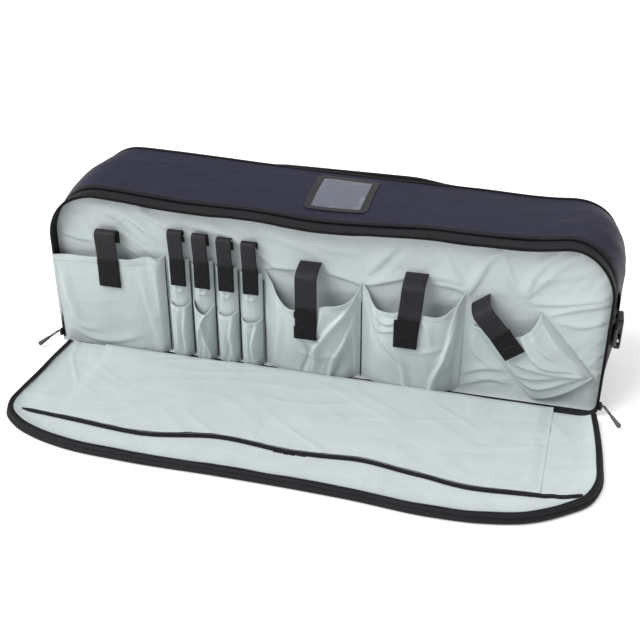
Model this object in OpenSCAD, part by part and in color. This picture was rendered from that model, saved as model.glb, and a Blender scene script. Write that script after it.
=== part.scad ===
// Long soft-sided flight bag: a padded body, an organizer door with eight pockets behind
// its own zip, and a front flap that folds down over a hinge along the bottom edge.
// The origin is the middle of the front edge of the underside: +X along the bag,
// +Y to the back, +Z up. Lengths are in millimetres.

/* [Bag] */
// Length of the bag
bag_l = 910; // [800:10:1000]
// Height of the bag
bag_h = 285; // [270:5:300]
// Depth from the organizer's front edge to the back
bag_d = 208; // [180:2:240]
// Radius of the upper corners
corner_r = 82; // [60:2:90]
// Radius of the lower corners
base_r = 14; // [10:1:14]

/* [Walls] */
// Thickness of the outer fabric with its coating
shell_t = 1.6; // [1.2:0.1:2.4]
// Thickness of the foam padding
foam_t = 6; // [4:0.5:8]
// Thickness of the lining
lining_t = 0.8; // [0.6:0.1:1]

/* [Organizer door] */
// Depth of the door's black side band
band_d = 26; // [24:1:30]
// How far the door's lining lies behind its front edge
recess = 17; // [15:0.5:18]
// Gap between the door and the body that the rear zip closes
zip_gap = 8; // [6:1:10]
// Height of the pockets' rear edge
pocket_h = 192; // [170:2:200]
// How far the large pockets stand in front of the door's edge
bulge = 5; // [2:0.5:6]

/* [Front flap] */
// Thickness of the flap at its rim
flap_t = 22; // [20:1:26]
// Clear height inside the flap's flat pocket
flap_pocket_gap = 5; // [4.6:0.1:5.4]

/* [Webbing] */
// Thickness of the hook-and-loop webbing
web_t = 1.8; // [1.4:0.1:2]
// Width of the wide pocket straps
wide_w = 36; // [30:1:38]
// Width of the narrow pocket straps
narrow_w = 25.4; // [20:0.2:26]
// Length of the carry handle
handle_l = 380; // [300:10:420]

/* [Hidden] */
$fn = 32;

// Clearance between pieces that move past each other
clear = 0.3;
half_l = bag_l / 2;
body_y = band_d + zip_gap;
// Where the straight sides start and end, between the corner arcs
side_low = base_r;
side_high = bag_h - corner_r;

NAVY = [0.16, 0.16, 0.22];
BLACK = [0.09, 0.09, 0.10];
WEB = [0.13, 0.13, 0.14];
LINING = [0.72, 0.76, 0.76];
FOAM = [0.35, 0.36, 0.38];

// ---- shared shapes ----

function arc(cx, cy, r, start, steps = 8) =
    [for (i = [0 : steps]) [cx + r * cos(start + i * 90 / steps), cy + r * sin(start + i * 90 / steps)]];

// The bag's rounded outline, set in all round by inset
module outline(inset = 0) {
    l = half_l - inset;
    h = bag_h - inset;
    r = corner_r - inset;
    b = max(base_r - inset, 2);
    polygon(concat(arc(l - r, h - r, r, 0), arc(r - l, h - r, r, 90),
                   arc(b - l, inset + b, b, 180, 4), arc(l - b, inset + b, b, 270, 4)));
}

// Raises an X-Z outline from y0 to y1
module slab(y0, y1) translate([0, y1, 0]) rotate([90, 0, 0]) linear_extrude(y1 - y0) children();

// A band that follows the outline, between two insets
module ring(y0, y1, outer, inner) difference() {
    slab(y0, y1) outline(outer);
    slab(y0 - 1, y1 + 1) outline(inner);
}

// A ring without its bottom run, for the zips, which go up one end, along the top and down the other
module zip_ring(y0, y1, outer, inner) difference() {
    ring(y0, y1, outer, inner);
    translate([-bag_l, y0 - 2, -1]) cube([2 * bag_l, y1 - y0 + 4, side_low + 1]);
}

module box(low, high) translate(low) cube(high - low);

// ---- body ----

foam_in = shell_t + foam_t;
lining_in = foam_in + lining_t;
back_y = bag_d;
hem = 2; // the padding stops short of the body's front edge

// Fabric that wraps round the top, ends and base, and a back panel sewn to it
module outer_shell() color(NAVY) ring(body_y, back_y - shell_t, 0, shell_t);
module back_panel() color(NAVY) slab(back_y - shell_t, back_y) outline(0);

// A strip that wraps round the ends, top and bottom, and a panel against the back
module body_foam() color(FOAM) {
    ring(body_y + hem, back_y - foam_in, shell_t, foam_in);
    slab(back_y - foam_in + zip_split, back_y - shell_t) outline(shell_t);
}

module body_lining() color(LINING) difference() {
    slab(body_y + hem, back_y - foam_in) outline(foam_in);
    slab(body_y, back_y - lining_in) outline(lining_in);
}

board_t = 1.5;
module bottom_board() color(BLACK)
    box([-half_l + 30, body_y + 6, lining_in], [half_l - 30, back_y - lining_in - 4, lining_in + board_t]);

// Round piping over the sewn edges at the front and the back of the body
piping_r = 2.2;
module piping_loop(y) {
    for (s = [-1, 1]) {
        translate([s * (half_l - corner_r), y, side_high]) rotate([90, 0, 0]) rotate([0, 0, s > 0 ? 0 : 90])
            rotate_extrude(angle = 90) translate([corner_r, 0]) circle(piping_r);
        translate([s * half_l, y, side_low]) cylinder(h = side_high - side_low, r = piping_r);
    }
    translate([corner_r - half_l, y, bag_h]) rotate([0, 90, 0]) cylinder(h = bag_l - 2 * corner_r, r = piping_r);
}
module body_piping() color(NAVY) difference() {
    piping_loop(back_y - 1);
    slab(0, bag_d * 2) outline(0);
}

// ---- ID window on the top face ----

window_x = 6;
window_y = 134;
window_l = 104;
window_d = 118;
window_border = 11;
module window_area(border, z0, z1) box(
    [window_x - window_l / 2 + border, window_y - window_d / 2 + border, z0],
    [window_x + window_l / 2 - border, window_y + window_d / 2 - border, z1]);

module id_window_frame() color(BLACK) difference() {
    window_area(0, bag_h, bag_h + 1.4);
    window_area(window_border, bag_h - 1, bag_h + 3);
}
module id_window_film() color([0.75, 0.8, 0.85]) window_area(window_border, bag_h, bag_h + 0.6);

// ---- rear zip, between the body and the door ----

tape_in = 3;
tape_t = 1.5;
zip_split = 0.3; // the two halves of a zip meet with this gap
rear_zip_y = band_d + zip_gap / 2;
module rear_zip_body_tape() color(BLACK)
    zip_ring(rear_zip_y + zip_split / 2, body_y, tape_in, tape_in + tape_t);
module rear_zip_door_tape() color(BLACK)
    zip_ring(band_d, rear_zip_y - zip_split / 2, tape_in, tape_in + tape_t);

// Fabric strip along the bottom edge, which the door turns about
door_hinge_y = rear_zip_y;
door_hinge_z = 2;
strip_t = 1.4;
module door_hinge_strip() color(BLACK)
    box([-half_l + base_r + 2, band_d + 1.6, 0], [half_l - base_r - 2, body_y, strip_t]);

// ---- organizer door ----

band_t = 2.6;
module door_band() color(BLACK) ring(2, band_d, 0, band_t);

foam_y0 = recess + lining_t;
door_foam_t = band_d - 1 - lining_t - foam_y0;
module door_foam() color(FOAM) slab(foam_y0, foam_y0 + door_foam_t) outline(band_t);

module door_lining() color(LINING) {
    slab(recess, foam_y0) outline(band_t);
    slab(foam_y0 + door_foam_t, band_d - 1) outline(band_t);
}

front_tape_t = 4.6;
module front_zip_door_tape() color(BLACK) zip_ring(clear, 2, 0, front_tape_t);

// Fabric strip that joins the flap to the door's bottom edge
flap_hinge_z = flap_t / 2;
flap_hinge_y = -flap_hinge_z;
module flap_hinge_strip() color(BLACK)
    box([-half_l + base_r + 2, flap_hinge_y + 0.6, 0], [half_l - base_r - 2, 2, strip_t]);

// ---- pockets ----

sheet_t = 1.5;
pocket_z0 = 6;

// An open-topped pocket on the door's lining, whose rim slopes from back_h down to front_h
module pocket(x0, x1, front_y, back_h, front_h) {
    side = [[recess, pocket_z0], [recess, back_h], [front_y, front_h], [front_y, pocket_z0]];
    inner = [[recess + 1, pocket_z0 + sheet_t], [recess + 1, back_h + 40], [front_y + sheet_t, back_h + 40],
             [front_y + sheet_t, pocket_z0 + sheet_t]];
    difference() {
        translate([x0, 0, 0]) rotate([90, 0, 90]) linear_extrude(x1 - x0) polygon(side);
        translate([x0 + sheet_t, 0, 0]) rotate([90, 0, 90]) linear_extrude(x1 - x0 - 2 * sheet_t)
            polygon(inner);
    }
}

document_x0 = -446;
document_x1 = -262;
document_y = 1;
document_h = 176;
module document_pocket() color(LINING)
    pocket(document_x0, document_x1, document_y, document_h, document_h);

// Four narrow pockets side by side, each with a tall rear sleeve and a short front one
tool_x0 = -257;
tool_pitch = 41.4;
tool_gap = 0.6;
tool_rear_y = 8;
tool_rear_h = 190;
tool_front_y = -1;
tool_front_h = 110;
module tool_pocket(n) color(LINING) {
    x0 = tool_x0 + n * tool_pitch;
    x1 = x0 + tool_pitch - tool_gap;
    pocket(x0, x1, tool_rear_y, tool_rear_h, tool_rear_h);
    difference() {
        box([x0, tool_front_y, pocket_z0], [x1, tool_rear_y, tool_front_h]);
        box([x0 + sheet_t, tool_front_y + sheet_t, pocket_z0 + sheet_t],
            [x1 - sheet_t, tool_rear_y + 1, tool_front_h + 1]);
        box([x0 + sheet_t, tool_rear_y, pocket_z0 + sheet_t],
            [x1 - sheet_t, tool_rear_y + 1, tool_front_h + 1]);
    }
}
module tool_pocket_1() tool_pocket(0);
module tool_pocket_2() tool_pocket(1);
module tool_pocket_3() tool_pocket(2);
module tool_pocket_4() tool_pocket(3);

centre_x0 = -89;
radio_x0 = 72;
radio_x1 = 232;
bucket_front_h = 150;
module centre_pocket() color(LINING)
    pocket(centre_x0, radio_x0 - tool_gap, -bulge, pocket_h, bucket_front_h);
module radio_pocket() color(LINING) pocket(radio_x0, radio_x1, -bulge, pocket_h, bucket_front_h);

// The corner pocket and its strap lean over; the lean is a 3-4-5 triangle's
lean = atan(3 / 4);
corner_x = 338;
corner_z = 97;
corner_w = 104;
corner_h = 138;
corner_y = -3;
module leaning() translate([corner_x, 0, corner_z]) rotate([0, -lean, 0]) children();
module corner_pocket() color(LINING) leaning() difference() {
    box([-corner_w / 2, corner_y, -corner_h / 2], [corner_w / 2, recess, corner_h / 2]);
    box([-corner_w / 2 + sheet_t, corner_y + sheet_t, -corner_h / 2 + sheet_t],
        [corner_w / 2 - sheet_t, recess + 1, corner_h / 2 + 1]);
}

// ---- pocket straps: webbing that is sewn to the lining, arches forward and hangs over a pocket ----

patch_t = 1;
function strap_front(pocket_y) = pocket_y - patch_t - clear - web_t;

// x is the strap's middle, top and tip its highest and lowest levels
module strap(x, w, pocket_y, top, tip) {
    r = recess - clear - strap_front(pocket_y);
    translate([x - w / 2, 0, 0]) rotate([90, 0, 90]) linear_extrude(w) {
        polygon(concat(arc(recess - clear, top - r, r, 90, 10),
                       [[strap_front(pocket_y), tip], [strap_front(pocket_y) + web_t, tip]],
                       [for (i = [10 : -1 : 0]) let (a = 90 + i * 9)
                           [recess - clear + (r - web_t) * cos(a), top - r + (r - web_t) * sin(a)]]));
    }
}

// [x, width, front of the pocket behind it, top, tip] of the upright straps
document_strap_at = [-356, wide_w, document_y, 222, 127];
tool_strap_at = [for (i = [0 : 3]) [tool_x0 + (i + 0.5) * tool_pitch, narrow_w, tool_rear_y, 234 - 2 * i, 143]];
centre_strap_at = [-15, wide_w, -bulge, 208, 88];
radio_strap_at = [149, wide_w, -bulge, 210, 95];
// and of the corner strap, in the leaning pocket's own directions
corner_strap_at = [-16, wide_w - 2, corner_y, 113, 17];

module strap_at(s) color(WEB) strap(s[0], s[1], s[2], s[3], s[4]);
module document_strap() strap_at(document_strap_at);
module tool_1_strap() strap_at(tool_strap_at[0]);
module tool_2_strap() strap_at(tool_strap_at[1]);
module tool_3_strap() strap_at(tool_strap_at[2]);
module tool_4_strap() strap_at(tool_strap_at[3]);
module centre_strap() strap_at(centre_strap_at);
module radio_strap() strap_at(radio_strap_at);
module corner_strap() leaning() strap_at(corner_strap_at);

// Loop patches on the pockets, under the lower half of each strap
patch_h = 46;
module patch_at(s) box([s[0] - s[1] / 2, s[2] - patch_t, s[4] - 3], [s[0] + s[1] / 2, s[2], s[4] + patch_h]);
module loop_patches() color(BLACK) {
    patch_at(document_strap_at);
    for (s = tool_strap_at) patch_at(s);
    patch_at(centre_strap_at);
    patch_at(radio_strap_at);
    leaning() patch_at(corner_strap_at);
}

// ---- front flap, lying open on the ground ----

flap_gap = 1;
flap_y1 = flap_hinge_y - flap_gap;
flap_y0 = flap_hinge_y - (bag_h - flap_hinge_z);
flap_skin = 1;
flap_foam_t = 3.7;
flap_floor = flap_skin + flap_foam_t + lining_t;

// The flap's outline: straight along the hinge, round at the two free corners
module flap_outline(inset = 0) {
    l = half_l - inset;
    r = corner_r - inset;
    b = 3;
    polygon(concat(arc(l - b, flap_y1 - inset - b, b, 0, 2), arc(b - l, flap_y1 - inset - b, b, 90, 2),
                   arc(r - l, flap_y0 + inset + r, r, 180), arc(l - r, flap_y0 + inset + r, r, 270)));
}
module flap_sheet(z0, z1, inset) translate([0, 0, z0]) linear_extrude(z1 - z0) flap_outline(inset);

module flap_panel() color(NAVY) flap_sheet(0, flap_skin, 0);
module flap_foam() color(FOAM) flap_sheet(flap_skin, flap_skin + flap_foam_t, band_t);
module flap_lining() color(LINING) flap_sheet(flap_skin + flap_foam_t, flap_floor, band_t);
module flap_ring(z0, z1, inner) difference() {
    flap_sheet(z0, z1, 0);
    flap_sheet(z0 - 1, z1 + 1, inner);
}
// The rim band has no wall along the hinge, where the pockets come close as the flap closes
module flap_band() color(BLACK) difference() {
    flap_ring(flap_skin, flap_t - 2, band_t);
    box([-bag_l, flap_y1 - band_t - 0.5, flap_floor], [bag_l, 0, flap_t * 2]);
}
module front_zip_flap_tape() color(BLACK) difference() {
    flap_ring(flap_t - 2, flap_t - clear, front_tape_t);
    box([-bag_l, flap_y1 - front_tape_t - 0.5, 0], [bag_l, 0, flap_t * 2]);
}

// Flat pocket on the flap, open towards the zip along its front edge
sheet_x0 = -365;
sheet_x1 = 380;
sheet_y0 = -215;
sheet_y1 = flap_y1 - band_t - 1;
flap_sheet_t = 0.8;
sheet_z = flap_floor + flap_pocket_gap;
module flap_pocket_sheet() color(LINING) difference() {
    box([sheet_x0, sheet_y0, flap_floor], [sheet_x1, sheet_y1, sheet_z + flap_sheet_t]);
    box([sheet_x0 + flap_sheet_t, sheet_y0 - 1, flap_floor - 1],
        [sheet_x1 - flap_sheet_t, sheet_y1 - flap_sheet_t, sheet_z]);
}

zip_x0 = -412;
zip_x1 = 435;
zip_y0 = -227;
zip_y1 = -217;
zip_top = flap_floor + 1.2;
module flap_pocket_zip_tape() color(BLACK) box([zip_x0, zip_y0, flap_floor], [zip_x1, zip_y1, zip_top]);

// Two sliders that meet head to head a little right of the middle
slider_meet_x = 17;
slider_l = 9;
slider_z = zip_top + clear;
slider_h = 3;
pocket_pull_l = 14;
module pocket_slider(side) color(WEB) translate([slider_meet_x, (zip_y0 + zip_y1) / 2, slider_z]) difference() {
    box([side > 0 ? 0.5 : -slider_l - 0.5, -4, 0], [side > 0 ? slider_l + 0.5 : -0.5, 4, slider_h]);
    translate([side * (slider_l - 1), -2.6, 1]) rotate([-90, 0, 0]) translate([0, -1, 0]) cylinder(h = 5.2, r = 1);
}
module pocket_pull(side) color(WEB)
    translate([slider_meet_x + side * (slider_l + 1.8), (zip_y0 + zip_y1) / 2, slider_z + 1.2]) difference() {
        box([side > 0 ? 0 : -pocket_pull_l, -2.4, 0], [side > 0 ? pocket_pull_l : 0, 2.4, 1.4]);
        translate([side * (pocket_pull_l - 3), 0, -1]) cylinder(h = 4, r = 1.2);
    }
module pocket_zip_slider_left() pocket_slider(-1);
module pocket_zip_slider_right() pocket_slider(1);
module pocket_zip_pull_left() pocket_pull(-1);
module pocket_zip_pull_right() pocket_pull(1);

// ---- sliders of the two large zips, each astride its zip on the outside of the bag ----

big_slider_w = 8;
big_slider_t = 4.6;
big_slider_h = 12.5;
module big_slider(side, y, z) color(WEB)
    translate([side * (half_l + clear + big_slider_t / 2), y, z]) {
        box([-big_slider_t / 2, -big_slider_w / 2, 0], [big_slider_t / 2, big_slider_w / 2, big_slider_h]);
        translate([side * (big_slider_t / 2 + 0.8), 0, big_slider_h / 2]) 
            box([-0.8, -1.2, -4], [0.8, 1.2, 4]);
    }

front_slider_z = side_low + 1;
module front_zip_slider_left() big_slider(-1, 0, front_slider_z);
module front_zip_slider_right() big_slider(1, 0, front_slider_z);

rear_slider_z = 154;
rear_slider_gap = 1;
module rear_zip_slider_lower() big_slider(1, rear_zip_y, rear_slider_z);
module rear_zip_slider_upper() big_slider(1, rear_zip_y, rear_slider_z + big_slider_h + rear_slider_gap);

// A cord with a moulded end, hanging along -Z from the origin
pull_cord_r = 1.1;
pull_end_l = 22;
module cord_pull(cord_l) color(WEB) {
    translate([0, 0, -cord_l]) cylinder(h = cord_l, r = pull_cord_r);
    translate([0, 0, -cord_l - pull_end_l]) cylinder(h = pull_end_l, r1 = 4.2, r2 = 2.6);
}
pull_x = half_l + clear + big_slider_t + 2.6;

// The front pulls lie out from their sliders, down to the ground
front_pull_cord = 20;
front_pull_tilt = 66;
module front_pull(side) translate([side * pull_x, 0, front_slider_z + 8])
    rotate([0, 0, side > 0 ? -45 : -135]) rotate([0, -front_pull_tilt, 0]) cord_pull(front_pull_cord);
module front_zip_pull_left() front_pull(-1);
module front_zip_pull_right() front_pull(1);

// The rear pulls hang side by side
rear_pull_cord = 26;
rear_pull_spread = 5.5;
module rear_pull(side, z) translate([pull_x + 1.6, rear_zip_y + side * rear_pull_spread, z])
    cord_pull(rear_pull_cord);
module rear_zip_pull_upper() rear_pull(-1, rear_slider_z + big_slider_h + rear_slider_gap + 4);
module rear_zip_pull_lower() rear_pull(1, rear_slider_z + 4);

// ---- carry handle, sewn to the back at both ends and bowed away from it between them ----

handle_w = 38;
handle_t = 2.5;
handle_z = 243;
handle_bow = 15;
handle_foot = 28;
module carry_handle() color(WEB) {
    y = back_y + 0.4;
    a = handle_l / 2;
    b = a - handle_foot;
    c = b - 45;
    translate([0, 0, handle_z]) linear_extrude(handle_w) polygon([
        [-a, y], [-b, y], [-c, y + handle_bow], [c, y + handle_bow], [b, y], [a, y],
        [a, y + handle_t], [b, y + handle_t], [c, y + handle_bow + handle_t],
        [-c, y + handle_bow + handle_t], [-b, y + handle_t], [-a, y + handle_t]]);
}

// ---- compression straps round the ends, with side-release buckles ----

end_web = 25;
end_y = 50;
end_top = 200;
end_drop = 48;
socket_l = 52;
socket_w = 34;
socket_t = 11;
module end_strap(side) color(WEB) translate([side * (half_l + clear), end_y, 0])
    box([side > 0 ? 0 : -web_t, 0, end_top - end_drop], [side > 0 ? web_t : 0, end_web, end_top]);
module end_strap_right() end_strap(1);
module end_strap_left() end_strap(-1);

// The socket is open below for the plug and slotted at the sides for its two prongs
module buckle_socket(side) color(BLACK)
    translate([side * (half_l + 1 + socket_t / 2), end_y + end_web / 2, end_top - end_drop - socket_l]) difference() {
        box([-socket_t / 2, -socket_w / 2, 0], [socket_t / 2, socket_w / 2, socket_l]);
        box([-socket_t / 2 + 2, -socket_w / 2 + 2.5, -1], [socket_t / 2 - 2, socket_w / 2 - 2.5, socket_l - 14]);
        box([-socket_t / 2 + 2, -socket_w / 2 - 1, 12], [socket_t / 2 - 2, socket_w / 2 + 1, 28]);
    }
module buckle_socket_right() buckle_socket(1);
module buckle_socket_left() buckle_socket(-1);

back_strap_x = 412;
back_strap_drop = 60;
module back_strap(side) color(WEB) translate([side * back_strap_x, back_y + clear, 0])
    box([-end_web / 2, 0, end_top - back_strap_drop], [end_web / 2, web_t, end_top]);
module back_strap_right() back_strap(1);
module back_strap_left() back_strap(-1);

plug_l = 50;
plug_t = 6;
module buckle_plug(side) color(BLACK)
    translate([side * back_strap_x, back_y + clear, end_top - back_strap_drop - plug_l]) {
        box([-14, 0, plug_l - 14], [14, plug_t, plug_l]);
        box([-1.6, 0, 4], [1.6, plug_t, plug_l - 14]);
        for (s = [-1, 1]) box([s * 11 - 2, 0, 0], [s * 11 + 2, plug_t, plug_l - 14]);
    }
module buckle_plug_right() buckle_plug(1);
module buckle_plug_left() buckle_plug(-1);

outer_shell();
back_panel();
body_foam();
body_lining();
bottom_board();
body_piping();
id_window_frame();
id_window_film();
rear_zip_body_tape();
door_hinge_strip();
door_band();
door_foam();
door_lining();
rear_zip_door_tape();
front_zip_door_tape();
flap_hinge_strip();
document_pocket();
tool_pocket_1();
tool_pocket_2();
tool_pocket_3();
tool_pocket_4();
centre_pocket();
radio_pocket();
corner_pocket();
loop_patches();
document_strap();
tool_1_strap();
tool_2_strap();
tool_3_strap();
tool_4_strap();
centre_strap();
radio_strap();
corner_strap();
flap_panel();
flap_foam();
flap_lining();
flap_band();
front_zip_flap_tape();
flap_pocket_sheet();
flap_pocket_zip_tape();
pocket_zip_slider_left();
pocket_zip_slider_right();
pocket_zip_pull_left();
pocket_zip_pull_right();
front_zip_slider_left();
front_zip_slider_right();
front_zip_pull_left();
front_zip_pull_right();
rear_zip_slider_upper();
rear_zip_slider_lower();
rear_zip_pull_upper();
rear_zip_pull_lower();
carry_handle();
end_strap_right();
end_strap_left();
buckle_socket_right();
buckle_socket_left();
back_strap_right();
back_strap_left();
buckle_plug_right();
buckle_plug_left();
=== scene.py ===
"""Looks of a long soft flight bag with its front flap folded down.

Lengths in this file are in millimetres until make() turns them into metres.
+X runs along the bag, +Y to its back and +Z up, as in the CAD model.
"""
import math

import bmesh
import bpy
import numpy as np
from mathutils import Matrix, Vector


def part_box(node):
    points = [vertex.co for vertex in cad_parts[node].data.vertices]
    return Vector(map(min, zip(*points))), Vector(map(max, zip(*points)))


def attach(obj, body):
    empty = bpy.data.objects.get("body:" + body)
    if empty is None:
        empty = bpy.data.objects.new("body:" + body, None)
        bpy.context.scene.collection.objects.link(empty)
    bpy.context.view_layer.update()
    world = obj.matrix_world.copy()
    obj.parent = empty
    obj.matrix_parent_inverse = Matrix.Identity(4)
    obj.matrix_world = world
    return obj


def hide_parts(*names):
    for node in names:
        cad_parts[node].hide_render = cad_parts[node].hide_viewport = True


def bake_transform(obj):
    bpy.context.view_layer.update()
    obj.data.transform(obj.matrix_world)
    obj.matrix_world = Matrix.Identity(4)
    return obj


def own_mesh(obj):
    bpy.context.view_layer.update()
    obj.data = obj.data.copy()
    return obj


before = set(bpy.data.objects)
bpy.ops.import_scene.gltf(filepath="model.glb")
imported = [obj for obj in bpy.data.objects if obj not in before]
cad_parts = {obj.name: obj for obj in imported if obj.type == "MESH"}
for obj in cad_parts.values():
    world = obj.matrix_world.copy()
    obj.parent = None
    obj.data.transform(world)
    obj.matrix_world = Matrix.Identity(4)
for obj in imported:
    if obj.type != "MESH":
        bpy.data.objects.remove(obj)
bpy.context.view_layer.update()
MM = 0.001


def node_box(name):
    """A CAD node's lowest and highest corners, in millimetres."""
    low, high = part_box(name)
    return np.array(low) / MM, np.array(high) / MM


# ---- sizes, from the frame ----

SHELL_LOW, SHELL_HIGH = node_box("outer_shell")
HALF = SHELL_HIGH[0]
HEIGHT = SHELL_HIGH[2]
BODY_Y0, BODY_Y1 = SHELL_LOW[1], SHELL_HIGH[1]
DOOR_Y1 = node_box("door_band")[1][1]
LINING_Y = node_box("door_lining")[0][1]
FLAP_FLOOR = node_box("flap_lining")[1][2]
CORNER = 82.0  # radius of the upper corners
BASE = 14.0  # radius of the lower corners
END_BULGE = 15.0  # how far the padded ends swell
TOP_BULGE = 3.0
WEB = 1.8  # thickness of the straps' webbing
DEEP = -10.0  # straps whose front lies before this depth go over a bulging pocket
LEAN = (0.8, 0.6)  # cosine and sine of the corner strap's lean
LEAN_ORIGIN = (338, 97)  # x and z of the corner strap's own origin


# ---- number helpers ----

def smooth(t):
    """Rises gently from 0 to 1 as t does."""
    t = np.clip(t, 0, 1)
    return t * t * (3 - 2 * t)


def through(points, x):
    """A smooth curve through a few (x, value) points."""
    px, py = np.array(points, float).T
    slope = np.gradient(py, px)
    x = np.clip(x, px[0], px[-1])
    i = np.clip(np.searchsorted(px, x, side="right") - 1, 0, len(px) - 2)
    width = px[i + 1] - px[i]
    t = (x - px[i]) / width
    a = (1 + 2 * t) * (1 - t) ** 2 * py[i] + t * (1 - t) ** 2 * width * slope[i]
    b = t * t * (3 - 2 * t) * py[i + 1] + t * t * (t - 1) * width * slope[i + 1]
    return a + b


def unit_grid(cols, rows):
    """u across and v up a grid, both from 0 to 1."""
    return (np.linspace(0, 1, cols)[None, :] + np.zeros((rows, 1)),
            np.linspace(0, 1, rows)[:, None] + np.zeros((1, cols)))


def length_along(points):
    """How far along a path each of its points is."""
    return np.r_[0, np.cumsum(np.linalg.norm(np.diff(points, axis=0), axis=1))]


def noise(x, y, seed):
    """Smooth noise from -1 to 1 with about one bump for each unit of x and y."""
    table = np.random.default_rng(seed).uniform(-1, 1, (64, 64))
    x, y = np.broadcast_arrays(np.asarray(x, float), np.asarray(y, float))
    xi, yi = np.floor(x).astype(int), np.floor(y).astype(int)
    fx, fy = x - xi, y - yi
    fx, fy = fx ** 3 * (fx * (6 * fx - 15) + 10), fy ** 3 * (fy * (6 * fy - 15) + 10)
    corner = lambda i, j: table[(xi + i) % 64, (yi + j) % 64]
    low = corner(0, 0) * (1 - fx) + corner(1, 0) * fx
    high = corner(0, 1) * (1 - fx) + corner(1, 1) * fx
    return low * (1 - fy) + high * fy


def folds(x, y, angle, width, length, seed):
    """Soft creases from 0 to 1 that run at angle degrees, each about width wide and length long."""
    c, s = math.cos(math.radians(angle)), math.sin(math.radians(angle))
    along, across = x * c + y * s, y * c - x * s
    across = across + 0.35 * width * noise(along / (0.7 * length), across / (2 * width), seed + 1)
    ridge = 1 - np.abs(noise(along / length, across / width, seed))
    return smooth((ridge - 0.35) / 0.65) * (0.55 + 0.45 * noise(along / length, across / (3 * width), seed + 2))


STROKE_STEPS = 25


def strokes(x, z, lines, wide=0.85):
    """Height of creases drawn along listed lines: (width, height, points) each, steeper on the right of the line."""
    total = np.zeros(np.broadcast(x, z).shape)
    for width, height, points in lines:
        pts = np.array(points, float)
        walked = length_along(pts)
        at = np.linspace(0, walked[-1], STROKE_STEPS + 1)
        line = np.stack([through(np.stack([walked, pts[:, k]], 1), at) for k in (0, 1)], 1)
        best = np.full(total.shape, 1e9)
        side, share = np.zeros(total.shape), np.zeros(total.shape)
        for k, ((px, pz), (qx, qz)) in enumerate(zip(line[:-1], line[1:])):
            ax, az = qx - px, qz - pz
            length = math.hypot(ax, az)
            t = np.clip(((x - px) * ax + (z - pz) * az) / length ** 2, 0, 1)
            d = np.hypot(x - px - t * ax, z - pz - t * az)
            near = d < best
            best = np.where(near, d, best)
            side = np.where(near, ((x - px) * az - (z - pz) * ax) / length, side)
            share = np.where(near, (k + t) / STROKE_STEPS, share)
        reach = width * wide * (0.95 - 0.4 * np.tanh(1.5 * side / width))
        taper = np.clip(np.sin(math.pi * (0.04 + 0.92 * share)), 0, 1) ** 0.6
        total = total + height * taper * np.exp(-(best / reach) ** 2)
    return total


# ---- the bag's outline ----

def arc_points(cx, cz, r, start, steps=24):
    a = np.radians(start + np.linspace(0, 90, steps + 1))
    return np.stack([cx + r * np.cos(a), cz + r * np.sin(a), np.cos(a), np.sin(a)], 1)


def outline(count):
    """Evenly spaced points round the bag's outline and their outward normals, from mid-base to the right."""
    runs = [np.array([[0, 0, 0, -1.0]]), arc_points(HALF - BASE, BASE, BASE, -90),
            arc_points(HALF - CORNER, HEIGHT - CORNER, CORNER, 0),
            arc_points(CORNER - HALF, HEIGHT - CORNER, CORNER, 90),
            arc_points(BASE - HALF, BASE, BASE, 180), np.array([[0, 0, 0, -1.0]])]
    path = np.concatenate(runs)
    walked = length_along(path[:, :2])
    at = np.linspace(0, walked[-1], count, endpoint=False)
    out = np.stack([np.interp(at, walked, path[:, k]) for k in range(4)], 1)
    out[:, 2:] /= np.linalg.norm(out[:, 2:], axis=1, keepdims=True)
    return out[:, :2], out[:, 2:]


# How far the top edge lies over the CAD height, along the bag: at the front, and at the back
FRONT_RISE = [(-455, 0), (-385, 0), (-230, -9), (-100, -11), (-10, -17), (80, -14), (170, -9),
              (250, -10), (340, -7), (395, 0), (455, 0)]
BACK_RISE = [(-455, 0), (-380, 6), (-300, 5), (-170, 0), (0, -5), (226, -9), (356, -11), (455, 0)]


def rise(x, y, z):
    """How far the soft bag stands over or sags under its CAD height."""
    back = smooth((y - BODY_Y0) / (BODY_Y1 - BODY_Y0))
    edge = through(FRONT_RISE, x) * (1 - back) + through(BACK_RISE, x) * back
    return edge * np.clip(z / HEIGHT, 0, 1) ** 2


def body_points(flat, normal, y, inset=0.0, crumple=1.0):
    """Points of the body's soft wall at depth y, set in by inset."""
    t = np.clip((y - BODY_Y0) / (BODY_Y1 - BODY_Y0), 0, 1)
    swell = np.sin(math.pi * t) ** 0.8
    x, z, nx, nz = flat[..., 0], flat[..., 1], normal[..., 0], normal[..., 1]
    out = swell * (END_BULGE * np.abs(nx) * smooth(z / 90) + TOP_BULGE * np.clip(nz, 0, 1))
    calm = 1 - smooth((90 - np.abs(x - 6)) / 40) * np.clip(nz, 0, 1)  # no creases under the ID window
    fabric = folds(x + z * np.sign(nx), y, 4, 34, 160, 11) - 0.4 + 0.7 * (folds(x, y + z, 38, 22, 90, 12) - 0.4)
    out = out + crumple * 1.5 * fabric * calm * (0.15 + swell) * smooth(z / 25)
    x = x + nx * (out - inset)
    z = z + nz * (out - inset)
    return np.stack([x, np.broadcast_to(y, x.shape), z + rise(x, y, z)], -1)


def rim_path(count, y, inset, wave=0.0, open_base=False):
    """A path round the outline at depth y, set in by inset, which may leave out the bottom run."""
    flat, normal = outline(count)
    place = flat - normal * inset
    if open_base:
        keep = place[:, 1] > BASE - 4
        first = int(np.argmax(keep))
        order = [i for i in range(first, count) if keep[i]]
        place, normal = place[order], normal[order]
    x, z = place.T
    ripple = wave * noise(x / 45, z / 45, 21) * normal[:, 1] * smooth(z / 60)
    points = np.stack([x, np.full_like(x, y), z + rise(x, y, z) + ripple], 1)
    return points, np.stack([normal[:, 0], 0 * x, normal[:, 1]], 1)


# ---- mesh builders ----

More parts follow.
